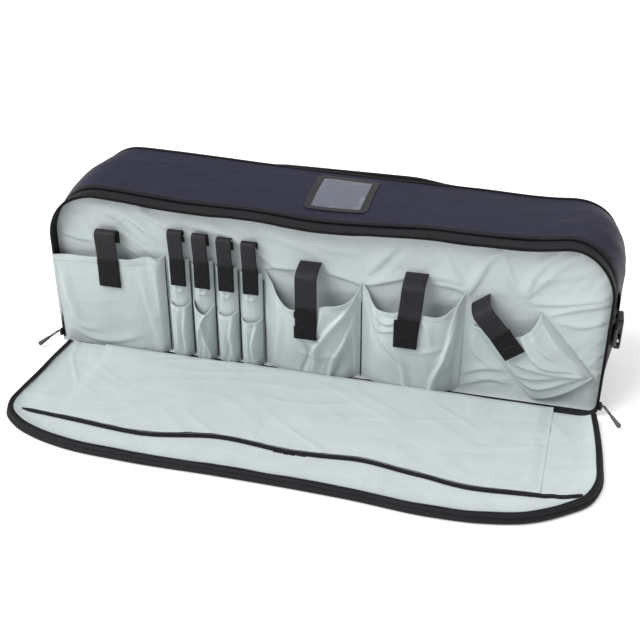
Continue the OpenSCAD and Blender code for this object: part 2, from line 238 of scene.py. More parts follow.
def make(name, verts, faces, material, crease=40):
    """A mesh object in metres, with one material, smooth but for edges over crease degrees."""
    mesh = bpy.data.meshes.new(name)
    mesh.from_pydata((np.asarray(verts, float) * MM).tolist(), [], [tuple(f) for f in faces])
    work = bmesh.new()
    work.from_mesh(mesh)
    bmesh.ops.remove_doubles(work, verts=work.verts, dist=1e-6)
    bmesh.ops.recalc_face_normals(work, faces=work.faces)
    work.to_mesh(mesh)
    work.free()
    mesh.materials.append(material)
    mesh.shade_smooth()
    mesh.set_sharp_from_angle(angle=math.radians(crease))
    piece = bpy.data.objects.new(name, mesh)
    bpy.context.collection.objects.link(piece)
    return piece


def quads(rows, cols, wrap=False, start=0):
    """Faces of a rows x cols grid of points; wrap joins the last column to the first."""
    r, c = np.meshgrid(np.arange(rows - 1), np.arange(cols if wrap else cols - 1), indexing="ij")
    d = (c + 1) % cols
    corners = [r * cols + c, r * cols + d, (r + 1) * cols + d, (r + 1) * cols + c]
    return (start + np.stack(corners, -1)).reshape(-1, 4)


def surface_normals(p, wrap=False):
    across = np.roll(p, -1, 1) - np.roll(p, 1, 1) if wrap else np.gradient(p, axis=1)
    n = np.cross(across, np.gradient(p, axis=0))
    return n / np.maximum(np.linalg.norm(n, axis=2, keepdims=True), 1e-9)


def sheet_shape(points, thick, wrap=False):
    """Verts and faces of a closed sheet: points (rows x cols x 3) is its outer face; thick goes behind it."""
    rows, cols = points.shape[:2]
    thick = np.broadcast_to(thick, (rows, cols))[..., None]
    inner = points - surface_normals(points, wrap) * thick
    n = rows * cols
    index = np.arange(n).reshape(rows, cols)
    faces = [quads(rows, cols, wrap), quads(rows, cols, wrap, n)[:, ::-1]]
    edges = [index[0], index[-1][::-1]]
    if wrap:
        edges = [np.r_[index[0], index[0, 0]], np.r_[index[-1], index[-1, 0]][::-1]]
    else:
        edges += [index[::-1, 0], index[:, -1]]
    for e in edges:
        faces.append(np.stack([e[1:], e[:-1], e[:-1] + n, e[1:] + n], 1))
    return np.concatenate([points.reshape(-1, 3), inner.reshape(-1, 3)]), np.concatenate(faces)


def sheet(name, points, thick, material, wrap=False, crease=40):
    return make(name, *sheet_shape(points, thick, wrap), material, crease)


def join_shapes(shapes):
    """One list of verts and one of faces from several."""
    verts, faces, start = [], [], 0
    for v, f in shapes:
        verts.append(np.asarray(v, float))
        faces += [tuple(int(i) + start for i in face) for face in f]
        start += len(v)
    return np.concatenate(verts), faces


def directions(path, up, closed=False):
    """Unit vectors along, to the side of and over each point of a path."""
    ahead = np.roll(path, -1, 0) - np.roll(path, 1, 0) if closed else np.gradient(path, axis=0)
    ahead = ahead / np.linalg.norm(ahead, axis=1, keepdims=True)
    up = np.broadcast_to(np.asarray(up, float), path.shape)
    side = np.cross(ahead, up)
    side = side / np.linalg.norm(side, axis=1, keepdims=True)
    return ahead, side, np.cross(side, ahead)


def sweep_shape(path, profile, up, closed=False, scale=None):
    """Verts and faces of a profile (side, up) carried along a path."""
    path = np.asarray(path, float)
    profile = np.asarray(profile, float)
    _, side, over = directions(path, up, closed)
    scale = np.ones(len(path)) if scale is None else np.asarray(scale, float)
    p = profile[None] * scale[:, None, None]
    verts = path[:, None] + p[..., :1] * side[:, None] + p[..., 1:] * over[:, None]
    rows, cols = len(path), len(profile)
    faces = [tuple(f) for f in quads(rows, cols, True)]
    if closed:
        last = (rows - 1) * cols
        faces += [(last + c, last + (c + 1) % cols, (c + 1) % cols, c) for c in range(cols)]
    else:
        faces += [tuple(range(cols)), tuple(range((rows - 1) * cols, rows * cols))[::-1]]
    return verts.reshape(-1, 3), faces


def sweep(name, path, profile, up, material, closed=False, scale=None, crease=40):
    return make(name, *sweep_shape(path, profile, up, closed, scale), material, crease)


def round_profile(r, sides=10):
    a = np.arange(sides) * 2 * math.pi / sides
    return np.stack([r * np.cos(a), r * np.sin(a)], 1)


def flat_profile(width, thick, steps=6):
    """A webbing's section: flat, with soft edges."""
    w, t = width / 2, thick / 2
    run = np.linspace(-w + t, w - t, steps)
    end = [(w - 0.3 * t, 0.7 * t), (w, 0), (w - 0.3 * t, -0.7 * t)]
    top = [(x, t) for x in run] + end
    return np.array(top + [(-x, -z) for x, z in top])


def evenly(path, step, closed=False):
    """The same path with points a step apart."""
    path = np.asarray(path, float)
    if closed:
        path = np.vstack([path, path[:1]])
    walked = length_along(path)
    count = max(int(round(walked[-1] / step)), 2)
    at = np.linspace(0, walked[-1], count + (0 if closed else 1), endpoint=not closed)
    return np.stack([np.interp(at, walked, path[:, k]) for k in range(3)], 1)


def capsule(length, r, sides=6, flat=1.0):
    """A short rounded bar along its first axis."""
    rings = [(-length / 2, 0.45), (-length / 2 + 0.5 * r, 0.9), (length / 2 - 0.5 * r, 0.9), (length / 2, 0.45)]
    a = np.arange(sides) * 2 * math.pi / sides
    verts = [[x, k * r * math.cos(t), flat * k * r * math.sin(t)] for x, k in rings for t in a]
    faces = [tuple(f) for f in quads(4, sides, True)]
    return np.array(verts), faces + [tuple(range(sides)), tuple(range(3 * sides, 4 * sides))[::-1]]


def scatter_shape(path, up, shape, turn=False, closed=False, lift=0.0, shift=0.0):
    """Copies of a shape at each point of a path, lying along it, or across it if turn is set."""
    ahead, side, over = directions(path, up, closed)
    verts, faces = shape
    a, b = (side, ahead) if turn else (ahead, side)
    at = path + over * lift + side * shift
    v = (at[:, None] + verts[None, :, :1] * a[:, None] + verts[None, :, 1:2] * b[:, None]
         + verts[None, :, 2:] * over[:, None])
    n = len(verts)
    return v.reshape(-1, 3), [tuple(i + k * n for i in f) for k in range(len(path)) for f in faces]


def stitch_shape(path, up, closed=False, pitch=4.2, length=3.0, r=0.32, lift=0.1, shift=0.0):
    """A row of stitches along a path."""
    return scatter_shape(evenly(path, pitch, closed), up, capsule(length, r, 5),
                         closed=closed, lift=lift, shift=shift)


def fine_stitch_shape(path, up, **more):
    return stitch_shape(path, up, pitch=3.6, length=2.4, r=0.28, **more)


def teeth_shape(path, up, pitch=2.3, width=3.4, r=0.85, lift=0.0):
    """Half of a coil zip: short bars across the path."""
    return scatter_shape(evenly(path, pitch), up, capsule(width, r, 6), turn=True, lift=lift)


def block(name, low, high, bevel, material, segments=3):
    """A moulded block with rounded edges."""
    low, high = np.array(low, float), np.array(high, float)
    corners = np.array([[(low, high)[(i >> k) & 1][k] for k in range(3)] for i in range(8)])
    faces = [(0, 2, 3, 1), (4, 5, 7, 6), (0, 1, 5, 4), (2, 6, 7, 3), (0, 4, 6, 2), (1, 3, 7, 5)]
    piece = make(name, corners, faces, material)
    work = bmesh.new()
    work.from_mesh(piece.data)
    bmesh.ops.bevel(work, geom=work.edges[:], offset=bevel * MM, segments=segments, affect="EDGES",
                    profile=0.5)
    work.to_mesh(piece.data)
    work.free()
    piece.data.shade_smooth()
    piece.data.set_sharp_from_angle(angle=math.radians(35))
    return piece


def join(name, pieces):
    """Joins pieces into the first, under a new name, keeping their materials."""
    work = bmesh.new()
    materials = []
    for p in pieces:
        start = len(work.faces)
        work.from_mesh(p.data)
        work.faces.ensure_lookup_table()
        slots = list(p.data.materials)
        materials += [m for m in slots if m not in materials]
        for f in work.faces[start:]:
            f.material_index = materials.index(slots[f.material_index])
    mesh = bpy.data.meshes.new(name)
    work.to_mesh(mesh)
    work.free()
    for m in materials:
        mesh.materials.append(m)
    for p in pieces:
        bpy.data.objects.remove(p)
    piece = bpy.data.objects.new(name, mesh)
    bpy.context.collection.objects.link(piece)
    return piece


def carve(piece, cutters):
    """Cuts closed shapes out of a piece."""
    for c in cutters:
        cut = piece.modifiers.new("cut", "BOOLEAN")
        cut.object = c
        cut.solver = "EXACT"
    shown = piece.evaluated_get(bpy.context.evaluated_depsgraph_get())
    mesh = bpy.data.meshes.new_from_object(shown)
    piece.modifiers.clear()
    piece.data = mesh
    for c in cutters:
        bpy.data.objects.remove(c)
    return piece


def place(piece, body, *replaced, slot):
    """Puts a piece on a body, for the CAD nodes it replaces."""
    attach(piece, body)
    if replaced:
        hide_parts(*replaced)
    return piece


def place_bent(piece, node):
    """Puts a piece in place of a CAD node: hides the node and bakes the piece's transform into its mesh."""
    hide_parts(node)
    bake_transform(piece)


# ---- materials ----

class Finish:
    """Builds one procedural material on a Principled shader."""

    def __init__(self, name, **sockets):
        self.material = bpy.data.materials.new(name)
        self.material.use_nodes = True
        self.tree = self.material.node_tree
        self.shader = self.tree.nodes["Principled BSDF"]
        for socket, value in sockets.items():
            self.shader.inputs[socket.replace("_", " ")].default_value = value
        self.where = self.node("ShaderNodeTexCoord").outputs["Object"]
        self.height = None

    def node(self, kind, **settings):
        made = self.tree.nodes.new(kind)
        for key, value in settings.items():
            setattr(made, key, value)
        return made

    def link(self, a, b):
        self.tree.links.new(a, b)

    def math(self, operation, a, b):
        made = self.node("ShaderNodeMath", operation=operation)
        for socket, value in zip(made.inputs, (a, b)):
            if isinstance(value, (int, float)):
                socket.default_value = value
            else:
                self.link(value, socket)
        return made.outputs[0]

    def noise(self, size, detail=3.0, roughness=0.55, stretch=(1, 1, 1)):
        """Noise whose bumps are about size millimetres."""
        mapping = self.node("ShaderNodeMapping")
        mapping.inputs["Scale"].default_value = stretch
        self.link(self.where, mapping.inputs["Vector"])
        made = self.node("ShaderNodeTexNoise")
        made.inputs["Scale"].default_value = 1000.0 / size
        made.inputs["Detail"].default_value = detail
        made.inputs["Roughness"].default_value = roughness
        self.link(mapping.outputs[0], made.inputs["Vector"])
        return made.outputs["Fac"]

    def weave(self, thread):
        """Crossed threads in all three directions, thread millimetres apart."""
        waves = []
        for axis in "XYZ":
            wave = self.node("ShaderNodeTexWave", wave_type="BANDS", bands_direction=axis)
            wave.inputs["Scale"].default_value = 1000.0 / thread / 20 * math.pi
            wave.inputs["Distortion"].default_value = 0.6
            wave.inputs["Detail"].default_value = 1.0
            wave.inputs["Detail Scale"].default_value = 2.0
            self.link(self.where, wave.inputs["Vector"])
            waves.append(wave.outputs["Fac"])
        total = self.math("ADD", self.math("ADD", waves[0], waves[1]), waves[2])
        return self.math("MULTIPLY", total, 0.4)

    def colour(self, dark, light, driver, low=0.3, high=0.7):
        ramp = self.node("ShaderNodeValToRGB")
        ramp.color_ramp.elements[0].position = low
        ramp.color_ramp.elements[1].position = high
        ramp.color_ramp.elements[0].color = (*dark, 1)
        ramp.color_ramp.elements[1].color = (*light, 1)
        self.link(driver, ramp.inputs["Fac"])
        self.link(ramp.outputs["Color"], self.shader.inputs["Base Color"])

    def rough(self, low, high, driver):
        spread = self.node("ShaderNodeMapRange")
        spread.inputs["To Min"].default_value = low
        spread.inputs["To Max"].default_value = high
        self.link(driver, spread.inputs["Value"])
        self.link(spread.outputs[0], self.shader.inputs["Roughness"])

    def bump(self, height, depth, strength=1.0):
        """Adds a bump depth millimetres high."""
        made = self.node("ShaderNodeBump")
        made.inputs["Strength"].default_value = strength
        made.inputs["Distance"].default_value = depth * MM
        self.link(height, made.inputs["Height"])
        if self.height:
            self.link(self.height, made.inputs["Normal"])
        self.height = made.outputs["Normal"]
        self.link(self.height, self.shader.inputs["Normal"])


def cloth(name, dark, light, thread, weave_depth, rough, creases=0.0, crease_size=14.0, **sockets):
    """A woven fabric: threads, slow colour changes and fine creases."""
    f = Finish(name, **sockets)
    weave = f.weave(thread)
    slow = f.noise(38, 4)
    mixed = f.math("ADD", f.math("MULTIPLY", weave, 0.35), f.math("MULTIPLY", slow, 0.65))
    f.colour(dark, light, mixed)
    f.rough(rough - 0.06, rough + 0.08, f.noise(9, 2))
    if creases:
        f.bump(f.noise(crease_size, 5, 0.6, (1, 1, 0.7)), creases)
    f.bump(weave, weave_depth)
    return f.material


def plastic(name, dark, light, rough, grain=0.05, **sockets):
    """A moulded plastic or rubber: fine grain and scuffs."""
    f = Finish(name, **sockets)
    f.colour(dark, light, f.noise(12, 5))
    f.rough(rough - 0.08, rough + 0.12, f.noise(5, 4))
    f.bump(f.noise(0.6, 2), grain)
    return f.material


NAVY = cloth("navy_nylon", (0.018, 0.017, 0.034), (0.022, 0.021, 0.041), 0.75, 0.08, 0.5, 0.12, 60,
             Specular_IOR_Level=0.14)
TRIM = cloth("black_nylon", (0.011, 0.011, 0.013), (0.016, 0.016, 0.018), 0.8, 0.12, 0.6,
             Specular_IOR_Level=0.14)
TAPE = cloth("zip_tape", (0.006, 0.006, 0.007), (0.010, 0.010, 0.011), 0.5, 0.08, 0.65, Specular_IOR_Level=0.14)
WEBBING = cloth("webbing", (0.014, 0.013, 0.015), (0.024, 0.022, 0.025), 1.3, 0.28, 0.55,
                Specular_IOR_Level=0.2)
LINING = cloth("lining", (0.455, 0.505, 0.512), (0.50, 0.552, 0.558), 0.35, 0.02, 0.33, 0.4, 15,
               Specular_IOR_Level=0.55)
FOAM = plastic("foam", (0.08, 0.085, 0.09), (0.12, 0.125, 0.13), 0.9, 0.3)
BOARD = plastic("board", (0.02, 0.02, 0.021), (0.03, 0.03, 0.031), 0.55, 0.08)
BUCKLE = plastic("buckle", (0.006, 0.006, 0.007), (0.011, 0.011, 0.012), 0.32, 0.03)
METAL = plastic("slider", (0.012, 0.012, 0.013), (0.022, 0.022, 0.023), 0.3, 0.015, Metallic=0.4)
RUBBER = plastic("pull", (0.045, 0.045, 0.047), (0.07, 0.07, 0.072), 0.55, 0.05)
VINYL = plastic("window_vinyl", (0.009, 0.009, 0.011), (0.014, 0.014, 0.017), 0.34, 0.05)
TOOTH = plastic("zip_coil", (0.008, 0.008, 0.009), (0.013, 0.013, 0.014), 0.35, 0.01)
THREAD = cloth("thread", (0.02, 0.02, 0.022), (0.04, 0.04, 0.043), 0.3, 0.05, 0.6)
PALE_THREAD = cloth("pale_thread", (0.30, 0.335, 0.335), (0.37, 0.41, 0.41), 0.3, 0.05, 0.6)


def loop_material():
    """The loop side of hook-and-loop tape: a dense, dark pile."""
    f = Finish("hook_loop", Specular_IOR_Level=0.18)
    pile = f.noise(0.9, 3, 0.7)
    f.colour((0.003, 0.003, 0.004), (0.009, 0.009, 0.010), pile, 0.35, 0.65)
    f.rough(0.45, 0.7, pile)
    f.bump(pile, 0.5)
    return f.material


def film_material():
    """A clear, slightly smoky vinyl window."""
    f = Finish("window_film", Base_Color=(0.62, 0.66, 0.78, 1), Transmission_Weight=0.86, IOR=1.45)
    f.rough(0.06, 0.2, f.noise(30, 3))
    f.bump(f.noise(22, 3), 0.8)
    return f.material


LOOP = loop_material()
FILM = film_material()


# ---- camera, lights and floor: the same view as the reference ----

PIXELS = 640
FOCAL_PIXELS = 1050
CAMERA_PLACE = (0.366, -1.420, 0.950)
CAMERA_ANGLES = (14.2, 29.8, 0.2)  # yaw, pitch and roll
FLOOR_Z = -0.0006


def add_camera():
    data = bpy.data.cameras.new("camera")
    camera = bpy.data.objects.new("camera", data)
    bpy.context.collection.objects.link(camera)
    yaw, pitch, roll = (math.radians(a) for a in CAMERA_ANGLES)
    ahead = np.array([-math.sin(yaw) * math.cos(pitch), math.cos(yaw) * math.cos(pitch),
                      -math.sin(pitch)])
    right = np.array([math.cos(yaw), math.sin(yaw), 0])
    up = np.cross(right, ahead)
    c, s = math.cos(roll), math.sin(roll)
    right, up = c * right + s * up, c * up - s * right
    turn = Matrix([[right[k], up[k], -ahead[k]] for k in range(3)])
    camera.matrix_world = Matrix.Translation(CAMERA_PLACE) @ turn.to_4x4()
    data.sensor_width = 36
    data.lens = 36 * FOCAL_PIXELS / PIXELS
    data.clip_end = 50
    bpy.context.scene.camera = camera


def add_sun(name, toward, strength, spread):
    """A distant light that comes from a direction, spread degrees wide."""
    data = bpy.data.lights.new(name, "SUN")
    data.energy = strength
    data.angle = math.radians(spread)
    light = bpy.data.objects.new(name, data)
    bpy.context.collection.objects.link(light)
    light.rotation_euler = Vector(toward).to_track_quat("Z", "Y").to_euler()


def add_studio():
    scene = bpy.context.scene
    scene.view_settings.view_transform = "Standard"
    world = bpy.data.worlds.new("studio")
    scene.world = world
    world.use_nodes = True
    back = world.node_tree.nodes["Background"]
    back.inputs["Color"].default_value = (1, 1, 1, 1)
    back.inputs["Strength"].default_value = 0.46
    add_sun("key", (-0.75, -0.6, 1.1), 2.9, 40)
    add_sun("top", (0.35, 0.5, 1.0), 0.7, 60)
    floor_mesh = bpy.data.meshes.new("floor")
    r = 12
    corners = [(x, y, FLOOR_Z) for x, y in ((-r, -r), (r, -r), (r, r), (-r, r))]
    floor_mesh.from_pydata(corners, [], [(0, 1, 2, 3)])
    floor = bpy.data.objects.new("floor", floor_mesh)
    bpy.context.collection.objects.link(floor)
    f = Finish("floor_white", Base_Color=(0.85, 0.85, 0.85, 1), Roughness=0.9,
               Emission_Color=(1, 1, 1, 1), Emission_Strength=0.32)
    floor_mesh.materials.append(f.material)


add_camera()
add_studio()


# ---- body ----

def body_wall(name, y0, y1, inset, thick, material, rows=36, count=420, crumple=1.0):
    """The body's wrap and its back panel as one closed sheet."""
    flat, normal = outline(count)
    depths = y0 + (y1 - y0) * np.linspace(0, 1, rows)
    lines = [body_points(flat, normal, y, inset, crumple) for y in depths]
    for k in (0.985, 0.95, 0.88, 0.76, 0.6, 0.42, 0.22, 0.08, 0.0):
        ring = lines[rows - 1].copy()
        ring[:, 2] = HEIGHT / 2 + (ring[:, 2] - HEIGHT / 2) * k
        ring[:, 0] *= 1 - (1 - k) * HEIGHT / 2 / HALF
        puff = 1 - k ** 3
        ring[:, 1] = y1 + 1.0 + 5 * puff + 1.2 * puff * noise(ring[:, 0] / 70, ring[:, 2] / 50, 31)
        lines.append(ring)
    return sheet(name, np.array(lines), -thick, material, wrap=True)


def build_body():
    shell = body_wall("outer_shell_fabric", BODY_Y0, BODY_Y1, 0, 1.6, NAVY)
    place(shell, "bag", "outer_shell", "back_panel", slot="navy_nylon")
    foam = body_wall("body_padding", BODY_Y0 + 3, BODY_Y1 - 2.5, 2.2, 4.8, FOAM, rows=20, count=300,
                     crumple=0.5)
    place(foam, "bag", "body_foam", slot="foam")
    inner = body_wall("body_inner_lining", BODY_Y0 + 0.6, BODY_Y1 - 9.5, 7.9, 0.8, LINING, rows=28,
                      count=360, crumple=0.8)
    place(inner, "bag", "body_lining", slot="lining")
    # Binding over the raw front edge of the padded wall
    path, up = rim_path(420, BODY_Y0 + 1.5, 3.8)
    section = flat_profile(9.6, 1.6)[:, ::-1] * (1, -1)
    binding = sweep("body_edge_binding", path, section, up, TRIM, closed=True)
    place(binding, "bag", slot="black_nylon")
    # A grey hem strip on the outside, next to the zip
    flat, normal = outline(420)
    hem = np.array([body_points(flat, normal, y, -0.7 - 0.5 * h) for y, h in
                    ((BODY_Y0 - 0.5, 0), (BODY_Y0 + 2, 1), (BODY_Y0 + 5, 1), (BODY_Y0 + 8, 0))])
    strip = sheet("body_hem", hem, -0.9, TRIM, wrap=True)
    place(strip, "bag", slot="black_nylon")
    over_base = flat[:, 1] > BASE * 0.8
    row = stitch_shape(body_points(flat, normal, BODY_Y0 + 10.5, -1.0)[over_base], (0, -1, 0))
    place(make("body_stitches", *row, THREAD), "bag", slot="black_nylon")
    piping_points = body_points(flat, normal, BODY_Y1 - 1, -0.8)[over_base]
    piping = sweep("back_piping", evenly(piping_points, 5), round_profile(2.2), (0, 1, 0), TRIM)
    place(piping, "bag", "body_piping", slot="black_nylon")
    low, high = node_box("bottom_board")
    place(block("base_board", low, high, 0.6, BOARD), "bag", "bottom_board", slot="board")


build_body()


# ---- rear zip, closed, between the body and the door ----

def place_zip(name, tape, teeth, body, node):
    """Half of a zip, from the shapes of its tape and its teeth."""
    piece = join(name, [make("tape", *tape, TAPE), make("teeth", *teeth, TOOTH)])
    return place(piece, body, node, slot="zip_tape")


def rear_zip_half(name, body, node):
    """One half of the closed rear zip: a tape with its row of teeth on the edge towards the other."""
    inset = 3.4
    low, high = node_box(node)
    y0, y1 = low[1], high[1]
    path, up = rim_path(420, (y0 + y1) / 2, inset + 0.7, open_base=True)
    tape = sweep_shape(path, flat_profile(y1 - y0, 1.0), up)
    edge, _ = rim_path(420, y1 - 0.6 if body == "door" else y0 + 0.6, inset, open_base=True)
    teeth = teeth_shape(edge, mean_up(edge, 2.4) + (0, 0.001, 0), width=2.6, r=0.7, pitch=2.4)
    place_zip(name, tape, teeth, body, node)


def mean_up(path, pitch):
    """Outward directions for evenly spaced points of a rim path."""
    even = evenly(path, pitch)
    x, z = even[:, 0], even[:, 2]
    cx = np.clip(x, CORNER - HALF, HALF - CORNER)
    cz = np.clip(z, BASE, HEIGHT - CORNER)
    side = np.abs(x) > HALF - CORNER
    up = np.stack([np.where(side, x - cx, 0), 0 * x, np.where(z > HEIGHT - CORNER, z - cz, 0)], 1)
    up[~side] = (0, 0, 1)
    return up / np.maximum(np.linalg.norm(up, axis=1, keepdims=True), 1e-6)


rear_zip_half("rear_zip_door_half", "door", "rear_zip_door_tape")
rear_zip_half("rear_zip_body_half", "bag", "rear_zip_body_tape")


# ---- organizer door ----

def row_levels(inset, middle_rows):
    """Levels and half widths of rows that fit the outline, set in by inset."""
    low = np.radians(np.linspace(-90, 0, 7))
    high = np.radians(np.linspace(0, 90, 22))
    base, top = max(BASE - inset, 2), CORNER - inset
    half, roof = HALF - inset, HEIGHT - inset
    rows = [(inset + base + base * math.sin(a), half - base + base * math.cos(a)) for a in low]
    rows += [(z, half) for z in np.linspace(inset + base, roof - top, middle_rows)[1:-1]]
    return rows + [(roof - top + top * math.sin(a), half - top + top * math.cos(a)) for a in high]


def edge_distance(x, z):
    """How far inside the outline a point is."""
    r = np.where(z > HEIGHT / 2, CORNER, BASE)
    qx = np.abs(x) - (HALF - r)
    qz = np.where(z > HEIGHT / 2, z - (HEIGHT - r), r - z)
    outside = np.hypot(np.clip(qx, 0, None), np.clip(qz, 0, None))
    return r - outside - np.minimum(np.maximum(qx, qz), 0)


# Folds of the door's lining, round its straps and towards its corners
LINING_FOLDS = [
    (9, 2.6, [(-400, 265), (-336, 244), (-296, 210)]), (8, 2.4, [(-372, 271), (-309, 242), (-258, 209)]),
    (8, 2.2, [(-345, 268), (-294, 232), (-275, 198)]), (8, 2.4, [(-307, 264), (-255, 242), (-220, 213)]),
    (8, 2.0, [(-281, 256), (-229, 235), (-203, 227)]), (9, 1.8, [(-425, 245), (-394, 221), (-381, 188)]),
    (11, 2.6, [(-243, 260), (-149, 238), (-67, 199), (-31, 187)]), (8, 1.8, [(-185, 256), (-129, 235), (-98, 223)]),
    (8, 2.0, [(-446, 209), (-413, 201), (-385, 199)]), (7, 2.4, [(-92, 189), (-60, 197), (-28, 197)]),
    (9, 3.2, [(10, 199), (44, 192), (72, 182)]), (8, 3.0, [(77, 183), (102, 190), (129, 199), (142, 203)]),
    (8, 2.4, [(175, 207), (208, 209), (228, 205)]), (12, 2.4, [(-83, 254), (-42, 244), (-7, 234)]),
    (9, 2.0, [(82, 208), (101, 232), (120, 253)]), (10, 2.0, [(-7, 248), (33, 242), (67, 239)]),
    (9, 3.6, [(328, 188), (329, 216), (351, 256), (369, 277)]),
    (9, 3.2, [(331, 196), (346, 216), (378, 252), (408, 275)]),
    (9, 3.2, [(238, 188), (250, 213), (265, 249), (286, 271)]), (9, 2.0, [(237, 188), (215, 220), (195, 256)]),
    (7, 2.4, [(336, 181), (373, 183), (444, 200)]), (7, 2.2, [(365, 162), (404, 177), (449, 189)]),
    (8, 2.0, [(376, 151), (417, 149), (449, 162)]), (8, 2.4, [(178, 196), (213, 196), (237, 188)]),
    (7, 2.0, [(238, 39), (277, 53), (306, 54)]), (8, 2.4, [(247, 116), (257, 80), (288, 55)]),
    (7, 1.8, [(240, 17), (282, 33), (315, 30)]), (8, 2.2, [(317, 198), (297, 231), (286, 271)]),
    (8, 1.8, [(342, 221), (381, 230), (419, 243)])]


def door_lining_y(x, z):
    """Depth of the door's lining: padded, tucked in at its edge, and creased."""
    d = edge_distance(x, z)
    tuck = 1.2 * (1 - smooth((d - 2.6) / 14))
    puff = 1.0 * smooth(d / 60)
    corner = np.degrees(np.arctan2(z - (HEIGHT - CORNER), np.abs(x) - (HALF - CORNER)))
    gather = folds(x, z * 0.1, 90, 10, 200, 41) * np.exp(-(HEIGHT - z) / 26)
    gather = gather + folds(z, x * 0.1, 90, 8, 200, 42) * np.exp(-(HALF - np.abs(x)) / 22) * (z < 210)
    gather = gather + folds(corner * 1.2, d * 0.2, 90, 8, 100, 43) * np.exp(-d / 24) * (z > HEIGHT - CORNER)
    left = 1 - smooth((x - 20) / 140)
    slant = folds(x, z, -38, 19, 120, 44) * left + folds(x, z, 55, 20, 120, 45) * (1 - left)
    upper = smooth((z - 170) / 50)
    crease = 2.0 * gather + (0.5 + 1.5 * upper) * slant + 0.5 * folds(x, z, 12, 15, 60, 46)
    crease = (crease + 1.4 * strokes(x, z, LINING_FOLDS)) * smooth(d / 7)
    return LINING_Y + tuck - puff - crease + 1.6 - 8 * np.exp(-(z - 2.8) / 9)


def lining_grid(inset, middle_rows, cols, depth):
    rows = row_levels(inset, middle_rows)
    u = np.linspace(-1, 1, cols)
    z = np.array([r[0] for r in rows])[:, None] + 0 * u
    x = np.array([r[1] for r in rows])[:, None] * u
    return np.stack([x, depth(x, z), z + rise(x, 10, z)], -1)


def build_door():
    front = lining_grid(2.8, 92, 420, door_lining_y)
    lining = sheet("door_front_lining", front, 0.7, LINING)
    place(lining, "door", "door_lining", slot="lining")
    back = lining_grid(3.2, 30, 160, lambda x, z: DOOR_Y1 - 1.2 + 0.9 * folds(x, z, 20, 30, 120, 47))
    place(sheet("door_back_lining", back, -0.7, LINING), "door", slot="lining")
    foam = lining_grid(3.0, 14, 60, lambda x, z: LINING_Y + 1.6
                       + 5.0 * (1 - smooth((edge_distance(x, z) - 2.6) / 24)))
    verts, faces = sheet_shape(foam, 0)
    verts[len(verts) // 2:, 1] = DOOR_Y1 - 2.6
    padding = make("door_padding", verts, faces, FOAM)
    place(padding, "door", "door_foam", slot="foam")
    # Side band with two raised seams
    flat, normal = outline(460)
    lines = []
    for y, out in ((1.5, -0.4), (2.5, 0.5), (4.5, 0.9), (6, 0.1), (8, 0), (13, 0.5), (18, 0.4), (21.5, 0), (23, 0.9),
                   (25, 0.6), (26, -0.3)):
        p = flat + normal * out
        lines.append(np.stack([p[:, 0], np.full(len(p), y), p[:, 1] + rise(p[:, 0], y, p[:, 1])
                               + 0.7 * noise(p[:, 0] / 60, y / 12 + p[:, 1] / 60, 51) * smooth(p[:, 1] / 40)], 1))
    band = sheet("door_side_band", np.array(lines), -2.4, TRIM, wrap=True)
    place(band, "door", "door_band", slot="black_nylon")


build_door()


def build_front_zip_door():
    """The door's half of the front zip: a thin tape edge that stands at the rim, with teeth."""
    path, up = rim_path(460, 1.0, 1.7, wave=1.5, open_base=True)
    tape = sweep_shape(path, flat_profile(1.6, 3.8), up)
    edge, _ = rim_path(460, 0.2, 3.4, wave=1.5, open_base=True)
    teeth = teeth_shape(edge, mean_up(edge, 2.3), width=1.6, r=0.75)
    place_zip("front_zip_door_half", tape, teeth, "door", "front_zip_door_tape")


build_front_zip_door()


# ---- pockets ----

CENTRE_FOLDS = [
    (8, 4.5, [(-75, 182), (-50, 140), (-30, 111), (-15, 86), (0, 56), (-4, 14)]),
    (8, 3.5, [(-67, 164), (-61, 107), (-71, 45), (-77, 6)]), (8, -3.0, [(-22, 93), (-8, 54), (-22, 11)]),
    (8, 4.5, [(75, 180), (55, 143), (24, 103), (3, 68), (-15, 12)]), (7, 4.0, [(69, 137), (49, 79), (30, 40), (23, 4)]),
    (8, -3.5, [(64, 117), (46, 47), (27, 0)]), (6, -4.0, [(67, 172), (70, 107), (71, 11)]),
    (7, 3.0, [(60, 133), (64, 82), (68, 13)]), (7, 2.0, [(-26, 52), (10, 47), (35, 53)]),
    (7, -3.0, [(-80, 175), (-82, 104), (-84, 18)]), (7, 2.5, [(13, 145), (10, 121), (0, 88)])]
RADIO_FOLDS = [
    (7, 4.5, [(83, 180), (92, 148), (100, 111), (118, 82), (140, 57), (149, 2)]),
    (8, -3.5, [(89, 140), (104, 88), (133, 60), (153, 39)]), (6, 3.0, [(94, 148), (112, 130), (137, 137)]),
    (6, 2.6, [(89, 136), (107, 115), (134, 121)]), (6, 1.6, [(136, 81), (173, 84), (206, 93)]),
    (8, 4.0, [(218, 89), (200, 47), (189, -2)]), (6, -3.0, [(78, 184), (77, 108), (77, 13)]),
    (7, 2.5, [(173, 152), (180, 134), (189, 101)]), (8, 4.5, [(230, 185), (221, 136), (211, 76), (192, 26)]),
    (7, -3.5, [(232, 147), (230, 93), (223, 53), (227, 16)]), (7, 3.0, [(230, 151), (217, 99), (197, 62)])]
CORNER_FOLDS = [
    (7, 4.5, [(325, 139), (338, 109), (358, 87), (414, 75), (435, 67)]),
    (7, 4.0, [(278, 128), (305, 91), (355, 74), (432, 66)]), (7, 3.5, [(295, 85), (326, 57), (388, 63), (435, 67)]),
    (7, 3.5, [(311, 63), (346, 35), (403, 55), (435, 67)]), (6, 3.5, [(349, 166), (373, 130), (405, 95), (439, 67)]),
    (6, 3.0, [(338, 145), (351, 119), (385, 91)]), (7, -3.0, [(264, 122), (300, 70), (347, 18)])]
